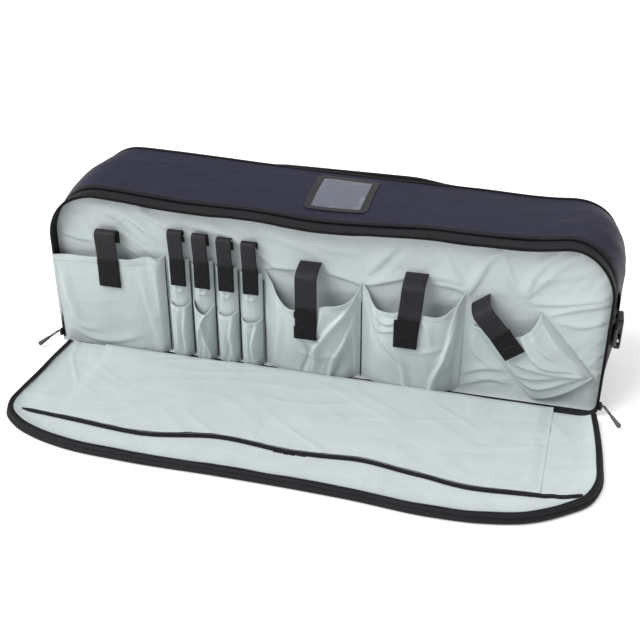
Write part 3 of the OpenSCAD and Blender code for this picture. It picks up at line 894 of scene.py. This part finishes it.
DOCUMENT_FOLDS = [
    (9, 2.2, [(-430, 30), (-400, 18), (-340, 22), (-310, 34)]), (9, 2.0, [(-435, 60), (-415, 40), (-380, 34)]),
    (10, 1.8, [(-440, 150), (-436, 100), (-425, 60)]), (10, 1.6, [(-300, 160), (-290, 100), (-280, 40)]),
    (8, 1.8, [(-274, 170), (-270, 110), (-266, 30)])]


def hem_thick(v):
    """The fabric's thickness, doubled at the hem."""
    return 0.8 + 0.9 * smooth((v - 0.93) / 0.015)


def pocket_sheet(name, seams, hem, depth, cols, rows, lines, creases=(), low=0.5):
    """A pocket's front: its two side seams, its hem's height and depth across, and its creases.

    seams are the x of the side seams; hem and depth are curves of u, from 0 at the left seam to 1.
    """
    z0 = 4.5
    u, v = unit_grid(cols, rows)
    x = seams[0] + (seams[1] - seams[0]) * u
    z = z0 + v * (through(hem, u) - z0)
    belly = through(depth, u)
    y = LINING_Y - 0.6 - belly * (low + (1 - low) * smooth(v * 1.6))
    calm = smooth(np.minimum(u, 1 - u) * 14)
    y = y - 1.3 * strokes(x, z, lines) * calm
    for angle, width, length, seed, size in creases:
        y = y - size * folds(x, z, angle, width, length, seed) * calm
    # The hem curls a little
    y = y - 1.6 * np.sin(z / 9 + x / 13) * smooth((v - 0.9) / 0.1) * calm
    points = np.stack([x, y, z + rise(x, 0, z)], -1)
    return sheet(name, points, hem_thick(v), LINING), points


def pocket_stitches(points, row):
    return fine_stitch_shape(points[row] + (0, -0.15, 0), (0, -1, 0))


REAR_HEMS = [[(0, 191), (0.3, 187), (0.6, 186), (1, 190)], [(0, 182), (0.4, 184), (1, 194)],
             [(0, 184), (0.4, 180), (1, 187)], [(0, 179), (0.5, 176), (1, 181)]]
FRONT_HEMS = [[(0, 108), (0.5, 101), (1, 107)], [(0, 117), (0.2, 108), (0.45, 98), (0.75, 97), (1, 111)],
              [(0, 99), (0.5, 95), (1, 103)], [(0, 93), (0.5, 89), (1, 95)]]


def tool_folds(a, b, n):
    """Creases of a narrow front sleeve."""
    m = (a + b) / 2
    sets = [[(5, 2.5, [(a + 6, 104), (m - 4, 70), (m - 8, 12)]), (5, 1.8, [(b - 6, 100), (m + 8, 60), (m + 9, 10)])],
            [(5, 4.5, [(a + 5, 112), (m - 4, 84), (m + 5, 50), (m + 12, 10)]),
             (4, 4.0, [(b - 5, 106), (m + 3, 88), (m - 8, 60), (m - 11, 14)]),
             (4, 3.0, [(m, 96), (m + 2, 60), (m + 2, 20)])],
            [(5, 2.2, [(a + 6, 94), (m - 6, 50), (m - 8, 10)]), (5, 2.0, [(b - 7, 96), (m + 7, 66), (m + 10, 14)])],
            [(5, 3.5, [(a + 7, 88), (m - 5, 60), (m - 7, 8)]), (5, 3.2, [(b - 7, 88), (m + 4, 50), (m + 6, 8)])]]
    return sets[n]


def build_tool_pocket(n):
    node = f"tool_pocket_{n + 1}"
    low, high = node_box(node)
    a, b = low[0] + 1.5, high[0] - 1.5
    m = (a + b) / 2
    reach = [(0, 2), (0.15, 7), (0.5, 10), (0.85, 7), (1, 2)]
    lines = [(5, 2.6, [(a + 5, 180), (m - 5, 150), (m - 4, 120)]),
             (5, 2.2, [(b - 5, 178), (m + 7, 150), (m + 4, 122)]),
             (4, 1.8, [(a + 3, 140), (m, 130), (b - 4, 138)])]
    rear, rear_points = pocket_sheet(node + "_r", (a, b), REAR_HEMS[n], reach, 30, 70, lines, low=0.8)
    reach = [(0, 3), (0.1, 11), (0.3, 16), (0.6, 17), (0.9, 11), (1, 3)]
    front, front_points = pocket_sheet(node + "_f", (a, b), FRONT_HEMS[n], reach, 34, 50,
                                       tool_folds(a, b, n), [(78, 9, 60, 80 + n, 1.0)], low=0.75)
    rows = [pocket_stitches(points, -5) for points in (rear_points, front_points)]
    thread = make(node + "_s", *join_shapes(rows), PALE_THREAD)
    return place(join(node + "_sleeves", [rear, front, thread]), "door", node, slot="lining")


def build_corner_pocket():
    """The pocket that leans over: its four corners, sagging hem and folds, in x and z."""
    corners = np.array([[(347, 9), (442, 62)], [(249, 130), (352, 166)]], float)
    u, v = unit_grid(90, 90)
    flat = sum(((1 - u, u)[i] * (1 - v, v)[j])[..., None] * corners[j, i] for i in (0, 1) for j in (0, 1))
    hem = [(0, 0), (0.18, 5), (0.3, 17), (0.45, 22), (0.62, 22), (0.78, 17), (0.92, 7), (1, 0)]
    sag = through(hem, u) * smooth(v * 1.2)
    bulge = -9 * np.sin(math.pi * u) * (1 - smooth(v * 3))
    x = flat[..., 0] + sag * 0.6 + bulge * 0.4
    z = flat[..., 1] - sag * 0.8 + bulge
    belly = 25 * np.sin(math.pi * np.clip(u, 0, 1)) ** 0.55 * (0.45 + 0.55 * smooth(v * 1.5))
    calm = smooth(np.minimum(u, 1 - u) * 9)
    belly = belly + 1.25 * strokes(x, z, CORNER_FOLDS) * calm + 1.2 * folds(x, z, 20, 18, 70, 124) * calm
    points = np.stack([x, LINING_Y - 0.6 - belly, z + rise(x, 0, z)], -1)
    piece = sheet("corner_a", points, hem_thick(v), LINING)
    joined = join("corner_pocket_front", [piece, make("corner_s", *pocket_stitches(points, -5), PALE_THREAD)])
    return place(joined, "door", "corner_pocket", slot="lining")


def build_pockets():
    """Every pocket, by the name of its CAD node."""
    made = {}
    mouth = [(0, 172), (0.3, 175), (0.7, 179), (0.9, 186), (0.95, 183), (1, 189)]
    reach = [(0, 17), (0.1, 16), (0.5, 15.5), (0.85, 13), (0.97, 8), (1, 2)]
    parts = {"document_pocket": pocket_sheet("d", (-456, -261), mouth, reach, 110, 80, DOCUMENT_FOLDS,
                                             [(70, 34, 150, 61, 1.0), (8, 26, 90, 62, 0.5)], low=0.9)}
    reach = [(0, 2), (0.06, 8), (0.14, 19), (0.25, 27), (0.5, 31), (0.75, 30), (0.87, 21), (0.95, 8), (1, 2)]
    mouth = [(0, 186), (0.084, 166), (0.2, 147), (0.29, 137), (0.41, 135), (0.55, 143), (0.66, 149), (0.81, 152),
             (0.92, 160), (0.975, 174), (1, 186)]
    parts["centre_pocket"] = pocket_sheet("c", (-88.5, 71), mouth, reach, 130, 110, CENTRE_FOLDS,
                                          [(75, 22, 110, 101, 1.2)])
    mouth = [(0, 186), (0.1, 163), (0.18, 151), (0.275, 150), (0.4, 154), (0.625, 154), (0.775, 152), (0.88, 160),
             (0.945, 170), (1, 187)]
    parts["radio_pocket"] = pocket_sheet("r", (72.5, 234), mouth, reach, 130, 110, RADIO_FOLDS,
                                         [(100, 22, 110, 111, 1.2)])
    for node, (piece, points) in parts.items():
        thread = make(node + "_stitches", *pocket_stitches(points, -6), PALE_THREAD)
        made[node] = place(join(node + "_front", [piece, thread]), "door", node, slot="lining")
    for n in range(4):
        made[f"tool_pocket_{n + 1}"] = build_tool_pocket(n)
    made["corner_pocket"] = build_corner_pocket()
    # Dark strips down the gaps between the pockets: painted shade for the dark shadow lines there, drawn as black tape
    seams = []
    for x, top in ((-259.3, 188), (-216.0, 186), (-174.6, 186), (-133.2, 180), (-90.6, 168),
                   (71.8, 150)):
        z = np.linspace(5, top, 24)
        path = np.stack([x + 0.5 * np.sin(z / 30), np.full_like(z, LINING_Y - 3.0), z + rise(x, 0, z)], 1)
        seams.append(sweep_shape(path, flat_profile(1.5, 1.2), (0, -1, 0)))
    place(make("pocket_gap_shade_strips", *join_shapes(seams), TRIM), "door", slot="black_nylon")
    return made


POCKETS = build_pockets()


# ---- pocket straps ----

def strap_route(top, tip, front, sway=1.5):
    """Depth and height along a strap: up the lining, over in a tight arch, down over the pocket.

    A deep strap turns about its seam as a whole, so it leaves the lining straight from that seam.
    """
    back = LINING_Y - WEB
    if front < DEEP:
        r, back, up = 16.0, LINING_Y - 0.6, []
        top -= 2.0
        a = np.radians(np.linspace(0, 90, 16))
        arch = [(back - (back - front) * math.sin(t), top - r + r * math.cos(t)) for t in a]
    else:
        r = (back - front) / 2
        up = [(back, z) for z in np.linspace(top - r - 16, top - r, 5)]
        a = np.radians(np.linspace(0, 180, 17))[1:]
        arch = [(back - r + r * math.cos(t), top - r + r * math.sin(t)) for t in a]
    down = []
    for t in np.linspace(0, 1, 22)[1:]:
        z = (top - r) + (tip - top + r) * t
        down.append((front + sway * math.sin(math.pi * t) - 1.0 * t, z))
    return np.array(up + arch + down)


def turned(p):
    """Directions turned by the corner strap's lean."""
    c, s = LEAN
    x, y, z = p.T
    return np.stack([x * c - z * s, y, x * s + z * c], 1)


def to_world(local, lean):
    """Places points given as (across, depth, height) from a strap's own directions."""
    if not lean:
        return local
    x, y, z = turned(local).T
    return np.stack([LEAN_ORIGIN[0] + x, y, LEAN_ORIGIN[1] + z], 1)


def build_strap(name, x, width, top, tip, front, lean=False, slip=0.0):
    """A strap with its hook tab at the tip and its stitch lines."""
    route = strap_route(top, tip, front)
    path = np.stack([x + slip * smooth((top - route[:, 1]) / (top - tip)), route[:, 0], route[:, 1]], 1)
    up = np.cross(np.gradient(path, axis=0), (-1.0, 0, 0))
    up = turned(up) if lean else up
    world = to_world(path, lean)
    web = sweep_shape(world, flat_profile(width, WEB), up)
    hook = sweep_shape(world[-12:] + (0, -1.5, 0), flat_profile(width - 1, 1.1), up[-12:])
    across = np.array([LEAN[0], 0, LEAN[1]]) if lean else np.array([1.0, 0, 0])
    along = world[-1] - world[-4]
    along = along / np.linalg.norm(along)
    t = np.linspace(-1, 1, 15)[:, None]
    rows = []
    for k, arch in ((-12, 0.0), (-4, 7.0)):
        line = world[k] + (0, -2.3, 0) + across * t * (width / 2 - 3) - along * arch * (1 - t * t)
        rows.append(stitch_shape(line, (0, -1, 0), pitch=2.6, length=2.1, r=0.3))
    pieces = [make("w", *web, WEBBING), make("h", *hook, LOOP), make("s", *join_shapes(rows), THREAD)]
    piece = join(name + "_webbing", pieces)
    if front < DEEP:
        SQUASHED.append(place(piece, name, name, slot="webbing"))
    else:
        place_bent(piece, name)


def patch_shape(x, width, low, high, front, lean=False):
    """A loop patch that lies on a pocket, under its strap."""
    x, z = np.meshgrid(np.linspace(x - width / 2, x + width / 2, 8), np.linspace(low, high, 14))
    points = np.stack([x, front + 0.4 * noise(x / 12, z / 12, 131), z], -1)
    return sheet_shape(to_world(points.reshape(-1, 3), lean).reshape(14, 8, 3), 1.0)


SQUASHED = []  # deep pieces, each given a mesh of its own at the end

# name, x, width, top, tip, front of the strap, slip sideways
STRAPS = [("document_strap", -356, 37, 224, 126, -2.4, 2.0)]
STRAPS += [(f"tool_{n + 1}_strap", -236.3 + 41.4 * n, 25.4, 237 - 2 * n, 142, 2.0, 3.0) for n in range(4)]
STRAPS += [("centre_strap", -12, 36, 207, 85, -20, 0.0), ("radio_strap", 158, 36, 209, 93, -20, -8.0)]


def build_straps():
    flat, deep = [], []
    for name, x, width, top, tip, front, slip in STRAPS:
        build_strap(name, x, width, top, tip, front, slip=slip)
        patch = patch_shape(x + slip - 1.5, width + 1.5, tip - 3, tip + 46, front + 2.0)
        (deep if front < DEEP else flat).append(patch)
    build_strap("corner_strap", -16, 34, 113, 15, -16, lean=True, slip=4.0)
    deep.append(patch_shape(-13.5, 35, 13, 58, -14.0, lean=True))
    for name, patches in (("flat_pocket_loop_patches", flat), ("deep_pocket_loop_patches", deep)):
        place(make(name, *join_shapes(patches), LOOP), "door", "loop_patches", slot="hook_loop")
    SQUASHED.append(bpy.data.objects["deep_pocket_loop_patches"])


build_straps()


# ---- front flap ----

# The flap's outer edge, from its left hinge corner round the front to the right one
FLAP_OUTLINE = [(-441, -4), (-445, -60), (-447, -121), (-450, -170), (-450, -204), (-441, -229), (-413, -255),
                (-372, -274), (-320, -287), (-224, -294), (-67, -293), (35, -294), (122, -297), (240, -305),
                (313, -300), (373, -284), (422, -253), (452, -225), (466, -190), (467, -126), (462, -60),
                (455, -4)]
FLAP_TURNS = {"left": (0, 4), "front": (4, 18), "right": (18, 21), "all": (0, 21)}


def flap_edge(inset=0.0, count=330, part="all"):
    """Points of the flap's edge, set in by inset, and their outward normals."""
    pts = np.array(FLAP_OUTLINE, float)
    walked = length_along(pts)
    first, last = FLAP_TURNS[part]
    at = np.linspace(walked[first], walked[last], count)
    curve = lambda t: np.stack([through(np.stack([walked, pts[:, k]], 1), t) for k in (0, 1)], 1)
    ahead = curve(np.clip(at + 6, 0, walked[-1])) - curve(np.clip(at - 6, 0, walked[-1]))
    ahead /= np.linalg.norm(ahead, axis=1, keepdims=True)
    normal = np.stack([ahead[:, 1], -ahead[:, 0]], 1)
    return curve(at) - normal * inset, normal


def flap_grid(inset, cols, rows):
    """x and y over the flap, rows from the hinge to the front."""
    front = flap_edge(inset, cols, "front")[0]
    left = flap_edge(inset, rows, "left")[0][:, None]
    right = flap_edge(inset, rows, "right")[0][::-1][:, None]
    u = ((front[:, 0] - front[0, 0]) / (front[-1, 0] - front[0, 0]))[None, :, None]
    hinge = left[0] + (right[0] - left[0]) * u[0]
    hinge[:, 1] -= 9 * smooth((hinge[:, 0] - 378) / 14) + 5 * smooth((-412 - hinge[:, 0]) / 14)
    v = np.linspace(0, 1, rows)[:, None, None]
    sag = lambda side: side - (1 - v) * side[0] - v * side[-1]
    points = (1 - v) * hinge + v * front + (1 - u) * sag(left) + u * sag(right)
    return points[..., 0], points[..., 1]


FLAP_LINE = flap_edge(0, 260)[0]


def flap_distance(x, y):
    """How far a point is inside the flap's free edge."""
    best = np.full(np.shape(x), 1e9)
    for px, py in FLAP_LINE:
        best = np.minimum(best, np.hypot(x - px, y - py))
    return best


def flap_lining_z(x, y):
    d = flap_distance(x, y)
    wall = 7.5 * np.exp(-(np.clip(d - 8, 0, None) / 11) ** 1.4)
    puff = 2.2 * smooth(d / 60) * smooth(-y / 30)
    gather = folds(x, y * 0.15, 90, 16, 200, 141) * np.exp(-d / 26) * smooth((-y - 180) / 40)
    gather = gather + folds(y, x * 0.15, 90, 13, 200, 142) * np.exp(-d / 30) * (np.abs(x) > 380)
    broad = folds(x, y, 14, 42, 190, 143) + 1.5 * folds(x, y, -58, 30, 110, 144) * smooth((np.abs(x) - 300) / 80)
    return FLAP_FLOOR + np.minimum(wall + puff + 2.4 * gather + 1.4 * broad, 8.2 + 1.5 * smooth((d - 12) / 20))


ZIP_WAVE = [(-430, 6), (-373, 1), (-320, -3), (-215, -10), (-95, 11), (17, 2), (60, 4), (120, 9), (200, -3),
            (285, -15), (350, -11), (407, -3), (445, 4)]
ZIP_LOW, ZIP_HIGH = node_box("flap_pocket_zip_tape")
ZIP_Y = (ZIP_LOW[1] + ZIP_HIGH[1]) / 2
ZIP_MEET = 17  # where the pocket's two sliders meet
SHEET_LOW, SHEET_HIGH = node_box("flap_pocket_sheet")


def pocket_zip_y(x):
    return ZIP_Y + through(ZIP_WAVE, x)


def build_flap():
    x, y = flap_grid(7.5, 440, 120)
    lining = sheet("flap_inner_lining", np.stack([x, y, flap_lining_z(x, y)], -1), 0.7, LINING)
    place(lining, "flap", "flap_lining", slot="lining")
    x, y = flap_grid(8.5, 120, 40)
    top = np.stack([x, y, 0.72 * (flap_lining_z(x, y) - FLAP_FLOOR) + FLAP_FLOOR - 1.6], -1)
    verts, faces = sheet_shape(top, 0)
    verts[len(verts) // 2:, 2] = 1.2
    foam = make("flap_padding", verts, faces, FOAM)
    place(foam, "flap", "flap_foam", slot="foam")
    x, y = flap_grid(3.0, 200, 60)
    z = 1.0 + 2.5 * np.exp(-flap_distance(x, y) / 4)
    place(sheet("flap_outer_fabric", np.stack([x, y, z], -1), 1.0, NAVY), "flap", "flap_panel", slot="navy_nylon")
    # Rim: two rounded ridges with a groove between them
    edge, normal = flap_edge(4.5)
    keep = edge[:, 1] < -9
    edge, normal = edge[keep], normal[keep]
    path = np.stack([edge[:, 0], edge[:, 1], 0 * edge[:, 0]], 1)
    up = (0, 0, 1.0)
    ridge = []
    for r, n, z, first, last in ((4.5, 0, 5.2, -85, 60), (3.3, -1.0, 12.6, -45, 125)):
        a = np.radians(np.linspace(first, last, 9))
        ridge += list(zip(n + r * np.cos(a), z + r * 1.08 * np.sin(a)))
    profile = np.array(ridge + [(-4.6, 13.0), (-4.8, 7.0), (-3.0, 1.0)])
    _, side, _ = directions(path, up)
    if np.sum(side[:, :2] * normal) < 0:
        profile = profile * (-1, 1)
    rim = sweep("flap_rim", path, profile, up, TRIM, crease=60)
    place(rim, "flap", "flap_band", slot="black_nylon")
    inner, _ = flap_edge(8.2)
    inner = inner[keep]
    lift = 14.6 + 0.8 * noise(inner[:, 0] / 40, inner[:, 1] / 40, 151)
    tape = sweep_shape(np.stack([inner[:, 0], inner[:, 1], lift], 1), flat_profile(6.0, 1.2), up)
    lip, _ = flap_edge(10.9)
    lip = lip[keep]
    teeth = teeth_shape(np.stack([lip[:, 0], lip[:, 1], lift + 0.2], 1), up, width=2.2, r=0.85)
    place_zip("front_zip_flap_half", tape, teeth, "flap", "front_zip_flap_tape")


def build_flap_pocket():
    u, v = unit_grid(260, 90)
    x0 = SHEET_LOW[0] - 8 * (1 - v) - 1
    x1 = SHEET_HIGH[0] + 6 * (1 - v) + 2
    x = x0 + (x1 - x0) * u
    back = -1.5
    y = back + (pocket_zip_y(x) + 5 - back) * v
    edge = np.minimum(np.minimum(x - x0, x1 - x), 60)
    puff = smooth(edge / 22) * smooth((back - y) / 14) * (1 - 0.35 * smooth((v - 0.86) / 0.14))
    z = FLAP_FLOOR + 3.0 + 3.0 * puff
    z = z + 1.5 * folds(x, y, 10, 34, 170, 161) + 1.2 * folds(x, y, -35, 30, 120, 162)
    z = z + 1.2 * folds(x, y, 88, 26, 80, 163) * np.exp(-(y - pocket_zip_y(x)) / 26)
    z = z + 1.5 * smooth((back - y) / 3) - 1.5
    z = np.maximum(z, flap_lining_z(x, y) + 0.9)
    points = np.stack([x, y, z], -1)
    cloth_sheet = sheet("flap_pocket_fabric", points, 0.6 + 0.5 * smooth((v - 0.95) / 0.02), LINING)
    seams = [fine_stitch_shape(line + (0, 0, 0.2), (0, 0, 1))
             for line in (points[:, 2], points[:, -3], points[-3])]
    place(make("flap_pocket_stitches", *join_shapes(seams), PALE_THREAD), "flap", slot="lining")
    place(cloth_sheet, "flap", "flap_pocket_sheet", slot="lining")
    # The zip that closes it
    x = np.linspace(ZIP_LOW[0] - 8, ZIP_HIGH[0] + 5, 220)
    y = pocket_zip_y(x)
    z = flap_lining_z(x, y) + 2.0
    near_slider = smooth((40 - np.abs(x - ZIP_MEET)) / 20)
    z = z * (1 - near_slider) + np.maximum(z, 8.2) * near_slider
    path = np.stack([x, y, z], 1)
    ends = smooth((x - x[0]) / 30 + 0.35) * smooth((x[-1] - x) / 12 + 0.5)
    tape = sweep_shape(path, flat_profile(8.5, 1.0), (0, 0, 1), scale=ends)
    teeth = teeth_shape(path[4:-4], (0, 0, 1), width=3.4, r=0.7, lift=0.6, pitch=2.0)
    place_zip("flap_pocket_zip", tape, teeth, "flap", "flap_pocket_zip_tape")


build_flap()
build_flap_pocket()


# ---- fabric hinges ----

def build_hinges():
    low, _ = node_box("flap_hinge_strip")
    x, y = np.meshgrid(np.linspace(-HALF + 8, HALF - 4, 150), np.linspace(low[1] - 8, 12, 26))
    z = 5.2 + 1.2 * folds(x, y, 4, 16, 90, 171) - 2.8 * smooth((y + 10) / 10)
    strip = sheet("flap_fabric_hinge", np.stack([x, y, z], -1), 1.2, TRIM)
    place_bent(strip, "flap_hinge_strip")
    low, high = node_box("door_hinge_strip")
    x, y = np.meshgrid(np.linspace(low[0], high[0], 120), np.linspace(low[1] - 4, high[1] + 6, 20))
    strip = sheet("door_fabric_hinge", np.stack([x, y, 1.6 + 0 * x], -1), 1.3, TRIM)
    place_bent(strip, "door_hinge_strip")


build_hinges()


# ---- hardware ----

def build_sliders():
    for node in [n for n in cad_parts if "_slider" in n]:
        low, high = node_box(node)
        mid = (low + high) / 2
        if node.startswith("pocket"):
            body = block("body", low, high - (0, 0, 0.9), 0.8, METAL)
            bridge = block("bridge", (mid[0] - 2.4, mid[1] - 1, high[2] - 1),
                           (mid[0] + 2.4, mid[1] + 1, high[2]), 0.4, METAL)
        else:
            side = 1 if mid[0] > 0 else -1
            inner = low[0] if side > 0 else high[0]
            a, b = sorted((inner, inner + side * 4.6))
            body = block("body", (a, low[1], low[2]), (b, high[1], high[2]), 1.3, METAL)
            a, b = sorted((inner + side * 4.4, inner + side * 6.2))
            bridge = block("bridge", (a, mid[1] - 1.3, mid[2] - 4), (b, mid[1] + 1.3, mid[2] + 4), 0.5, METAL)
        place(join(node + "_metal", [body, bridge]), node, node, slot="slider")


def cord_pull(name, start, direction, cord, end, node):
    """A looped cord with a moulded, tapered grip on its end: cord and end are their lengths."""
    d = np.array(direction, float)
    d = d / np.linalg.norm(d)
    helper = np.array([0, 1.0, 0]) if abs(d[1]) < 0.9 else np.array([1.0, 0, 0])
    side = np.cross(d, helper)
    side /= np.linalg.norm(side)
    start = np.array(start, float)
    strands = []
    for s in (-1, 1):
        t = np.linspace(0, 1, 14)
        apart = s * 1.25 * np.sin(math.pi * (0.12 + 0.8 * t)) ** 0.7
        path = start + d * (cord * t)[:, None] + side * apart[:, None]
        strands.append(sweep_shape(path, round_profile(0.95, 8), np.cross(side, d)))
    at = [0, 0.06, 0.12, 0.3, 0.34, 0.4, 0.44, 0.5, 0.54, 0.6, 0.64, 0.8, 0.94, 1.0]
    wide = [1.6, 2.6, 2.8, 3.0, 2.7, 3.2, 2.9, 3.5, 3.1, 3.7, 3.4, 4.1, 3.9, 2.4]
    path = start + d * (cord - 1 + (end + 1) * np.array(at))[:, None]
    profile = round_profile(1.0, 16) * (1.0, 0.72)
    grip = sweep_shape(path, profile, np.cross(side, d), scale=wide)
    piece = join(name, [make("a", *join_shapes(strands), WEBBING), make("b", *grip, RUBBER, crease=50)])
    place(piece, node, node, slot="pull")


def build_pulls():
    for side, name in ((-1, "left"), (1, "right")):
        cord_pull(f"front_pull_{name}_cord", (side * 462.5, 0, 23), (side * 0.646, -0.646, -0.4067), 20, 22,
                  f"front_zip_pull_{name}")
    for spread, z, name in ((-5.5, 171.5, "upper"), (5.5, 158, "lower")):
        cord_pull(f"rear_pull_{name}_cord", (464.1, 30 + spread, z), (0, 0, -1), 26, 22,
                  f"rear_zip_pull_{name}")
    for node in ("pocket_zip_pull_left", "pocket_zip_pull_right"):
        low, high = node_box(node)
        tab = block(node + "_tab", low - (0, 0.6, 0), high + (0, 0.6, 0.3), 0.7, METAL)
        place(tab, node, node, slot="pull")


def hang_strap(name, path, up):
    """A strap sewn to the bag at the top of its path, that bends just below the seam."""
    web = make(name + "_webbing", *sweep_shape(path, flat_profile(25, WEB), up), WEBBING)
    place_bent(web, name)


def build_end_straps():
    for side, name in ((1, "right"), (-1, "left")):
        low, high = node_box(f"end_strap_{name}")
        y = (low[1] + high[1]) / 2
        out = 8.0
        z = np.linspace(high[2] + 4, low[2] - 10, 20)
        x = side * (HALF + out + 2.0 * smooth((high[2] - z) / 20) - 3.5 * smooth((z - high[2] + 10) / 12))
        path = np.stack([x, np.full_like(z, y), z], 1)
        hang_strap(f"end_strap_{name}", path, (side, 0, 0))
        low, high = node_box(f"buckle_socket_{name}")
        shift = np.array([side * (out + 0.5), 0, 0])
        low, high = low + shift, high + shift
        shell = block("socket", low, high, 3.2, BUCKLE, 4)
        inner = block("in", low + (2, 2.5, -5), high - (2, 2.5, 14), 0.8, BUCKLE, 1)
        slot = block("slot", (low[0] + 2, low[1] - 3, low[2] + 12),
                     (high[0] - 2, high[1] + 3, low[2] + 28), 1.5, BUCKLE, 2)
        bar = block("bar", (low[0] - 3, low[1] + 6, high[2] - 9),
                    (high[0] + 3, high[1] - 6, high[2] - 4.5), 1.0, BUCKLE, 2)
        socket = carve(shell, [inner, slot, bar])
        socket.name = f"buckle_socket_{name}_body"
        place(socket, f"end_strap_{name}", f"buckle_socket_{name}", slot="buckle")
    for name in ("right", "left"):
        low, high = node_box(f"back_strap_{name}")
        x = (low[0] + high[0]) / 2
        z = np.linspace(high[2], low[2] - 6, 16)
        path = np.stack([np.full_like(z, x), 214.0 + 1.0 * np.sin((high[2] - z) / 9), z], 1)
        hang_strap(f"back_strap_{name}", path, (0, 1, 0))
        low, high = node_box(f"buckle_plug_{name}")
        y0, y1 = low[1] + 4, high[1] + 4
        head = block("head", (x - 14, y0, high[2] - 14), (x + 14, y1, high[2]), 1.8, BUCKLE, 3)
        slot = block("slot", (x - 10, y0 - 3, high[2] - 8), (x + 10, y1 + 3, high[2] - 4.5), 0.8, BUCKLE, 2)
        middle = block("mid", (x - 1.6, y0 + 1, low[2] + 4), (x + 1.6, y1 - 1, high[2] - 13), 0.8, BUCKLE, 2)
        parts = [carve(head, [slot]), middle]
        bends = ((10.5, high[2] - 12), (11.5, high[2] - 20), (12.2, low[2] + 22), (13.6, low[2] + 12),
                 (12.0, low[2] + 5), (8.5, low[2] + 0.5))
        for s in (-1, 1):
            arm = np.array([(x + s * a, (y0 + y1) / 2, z) for a, z in bends])
            parts.append(make("arm", *sweep_shape(evenly(arm, 2), flat_profile(4.6, 3.4), (s, 0, 0.001)), BUCKLE))
        plug = join(f"buckle_plug_{name}_body", parts)
        place(plug, f"back_strap_{name}", f"buckle_plug_{name}", slot="buckle")


def build_handle():
    """The handle in two halves, each sewn to the bag at its outer end."""
    low, high = node_box("carry_handle")
    a = high[0]
    mid_z = (low[2] + high[2]) / 2 - 5
    foot = low[1] + 6.4
    for s, name in ((-1, "left"), (1, "right")):
        t = s * np.linspace(0, 1, 46)
        bow = 13.5 * smooth((1 - np.abs(t)) / 0.42)
        path = np.stack([a * t, foot + bow, mid_z + 3.0 * smooth((1 - np.abs(t)) / 0.5)], 1)
        band = sweep_shape(path, flat_profile(38, 2.5, 10), (0, 1, 0))
        x0, x1 = s * (a - 3), s * (a - 27)
        z0, z1 = mid_z - 15, mid_z + 15
        box_path = [(x0, z0), (x1, z0), (x1, z1), (x0, z1), (x0, z0), (x1, z1)]
        pts = np.array([(px, foot + 1.5, pz) for px, pz in box_path])
        box = stitch_shape(pts, (0, 1, 0), pitch=3.4, length=2.4, r=0.3)
        piece = join(f"carry_handle_webbing_{name}", [make("a", *band, WEBBING), make("b", *box, THREAD)])
        place_bent(piece, "carry_handle")


def top_z(x, y):
    """Height of the body's top at each place."""
    flat = np.stack([x, np.full(x.shape, HEIGHT)], -1)
    return body_points(flat, np.broadcast_to((0.0, 1.0), flat.shape), y)[..., 2]


def build_window():
    low, high = node_box("id_window_frame")
    mid = (low + high) / 2 + (5, -7, 0)
    w, d = (high - low)[:2]
    r = 5.0
    hw, hd = w / 2 - 5.5, d / 2 - 5.5
    corners = []
    for sx, sy, start in ((1, 1, 0), (-1, 1, 90), (-1, -1, 180), (1, -1, 270)):
        corners += [(sx * (hw - r) + p[0], sy * (hd - r) + p[1]) for p in arc_points(0, 0, r, start, 5)]
    ring = evenly(np.array([(mid[0] + px, mid[1] + py, 0) for px, py in corners]), 4, closed=True)
    ring[:, 2] = top_z(ring[:, 0], ring[:, 1]) + 1.0
    edge = sweep_shape(ring, flat_profile(12, 1.6, 6), (0, 0, 1), closed=True)
    row = fine_stitch_shape(ring + (0, 0, 0.8), (0, 0, 1), closed=True, shift=-3.8)
    piece = join("id_window_border", [make("a", *edge, VINYL), make("b", *row, THREAD)])
    place(piece, "bag", "id_window_frame", slot="window_vinyl")
    x = np.linspace(mid[0] - w / 2 + 7, mid[0] + w / 2 - 7, 44)
    y = np.linspace(mid[1] - d / 2 + 7, mid[1] + d / 2 - 7, 50)
    gx, gy = np.meshgrid(x, y)
    calm = smooth((gx - x[0]) / 14) * smooth((x[-1] - gx) / 14)
    calm = calm * smooth((gy - y[0]) / 14) * smooth((y[-1] - gy) / 14)
    wave = 1.6 + 1.6 * noise(gx / 26, gy / 30, 181) + 0.8 * folds(gx, gy, 40, 22, 60, 182)
    film = sheet("id_window_clear_film", np.stack([gx, gy, top_z(gx, gy) + 1.0 + calm * wave], -1), 0.4, FILM)
    place(film, "bag", "id_window_film", slot="window_film")


build_sliders()
build_pulls()
build_end_straps()
build_handle()
build_window()

# ---- soft pockets and deep pieces: each gets a mesh of its own ----

SQUASHED += [POCKETS[f"{name}_pocket"] for name in ("centre", "radio", "corner")]
tools = [POCKETS[f"tool_pocket_{number}"] for number in range(1, 5)]
for pieces, keep in ((SQUASHED, 0.5), (tools, 0.7)):
    for piece in pieces:
        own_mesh(piece)
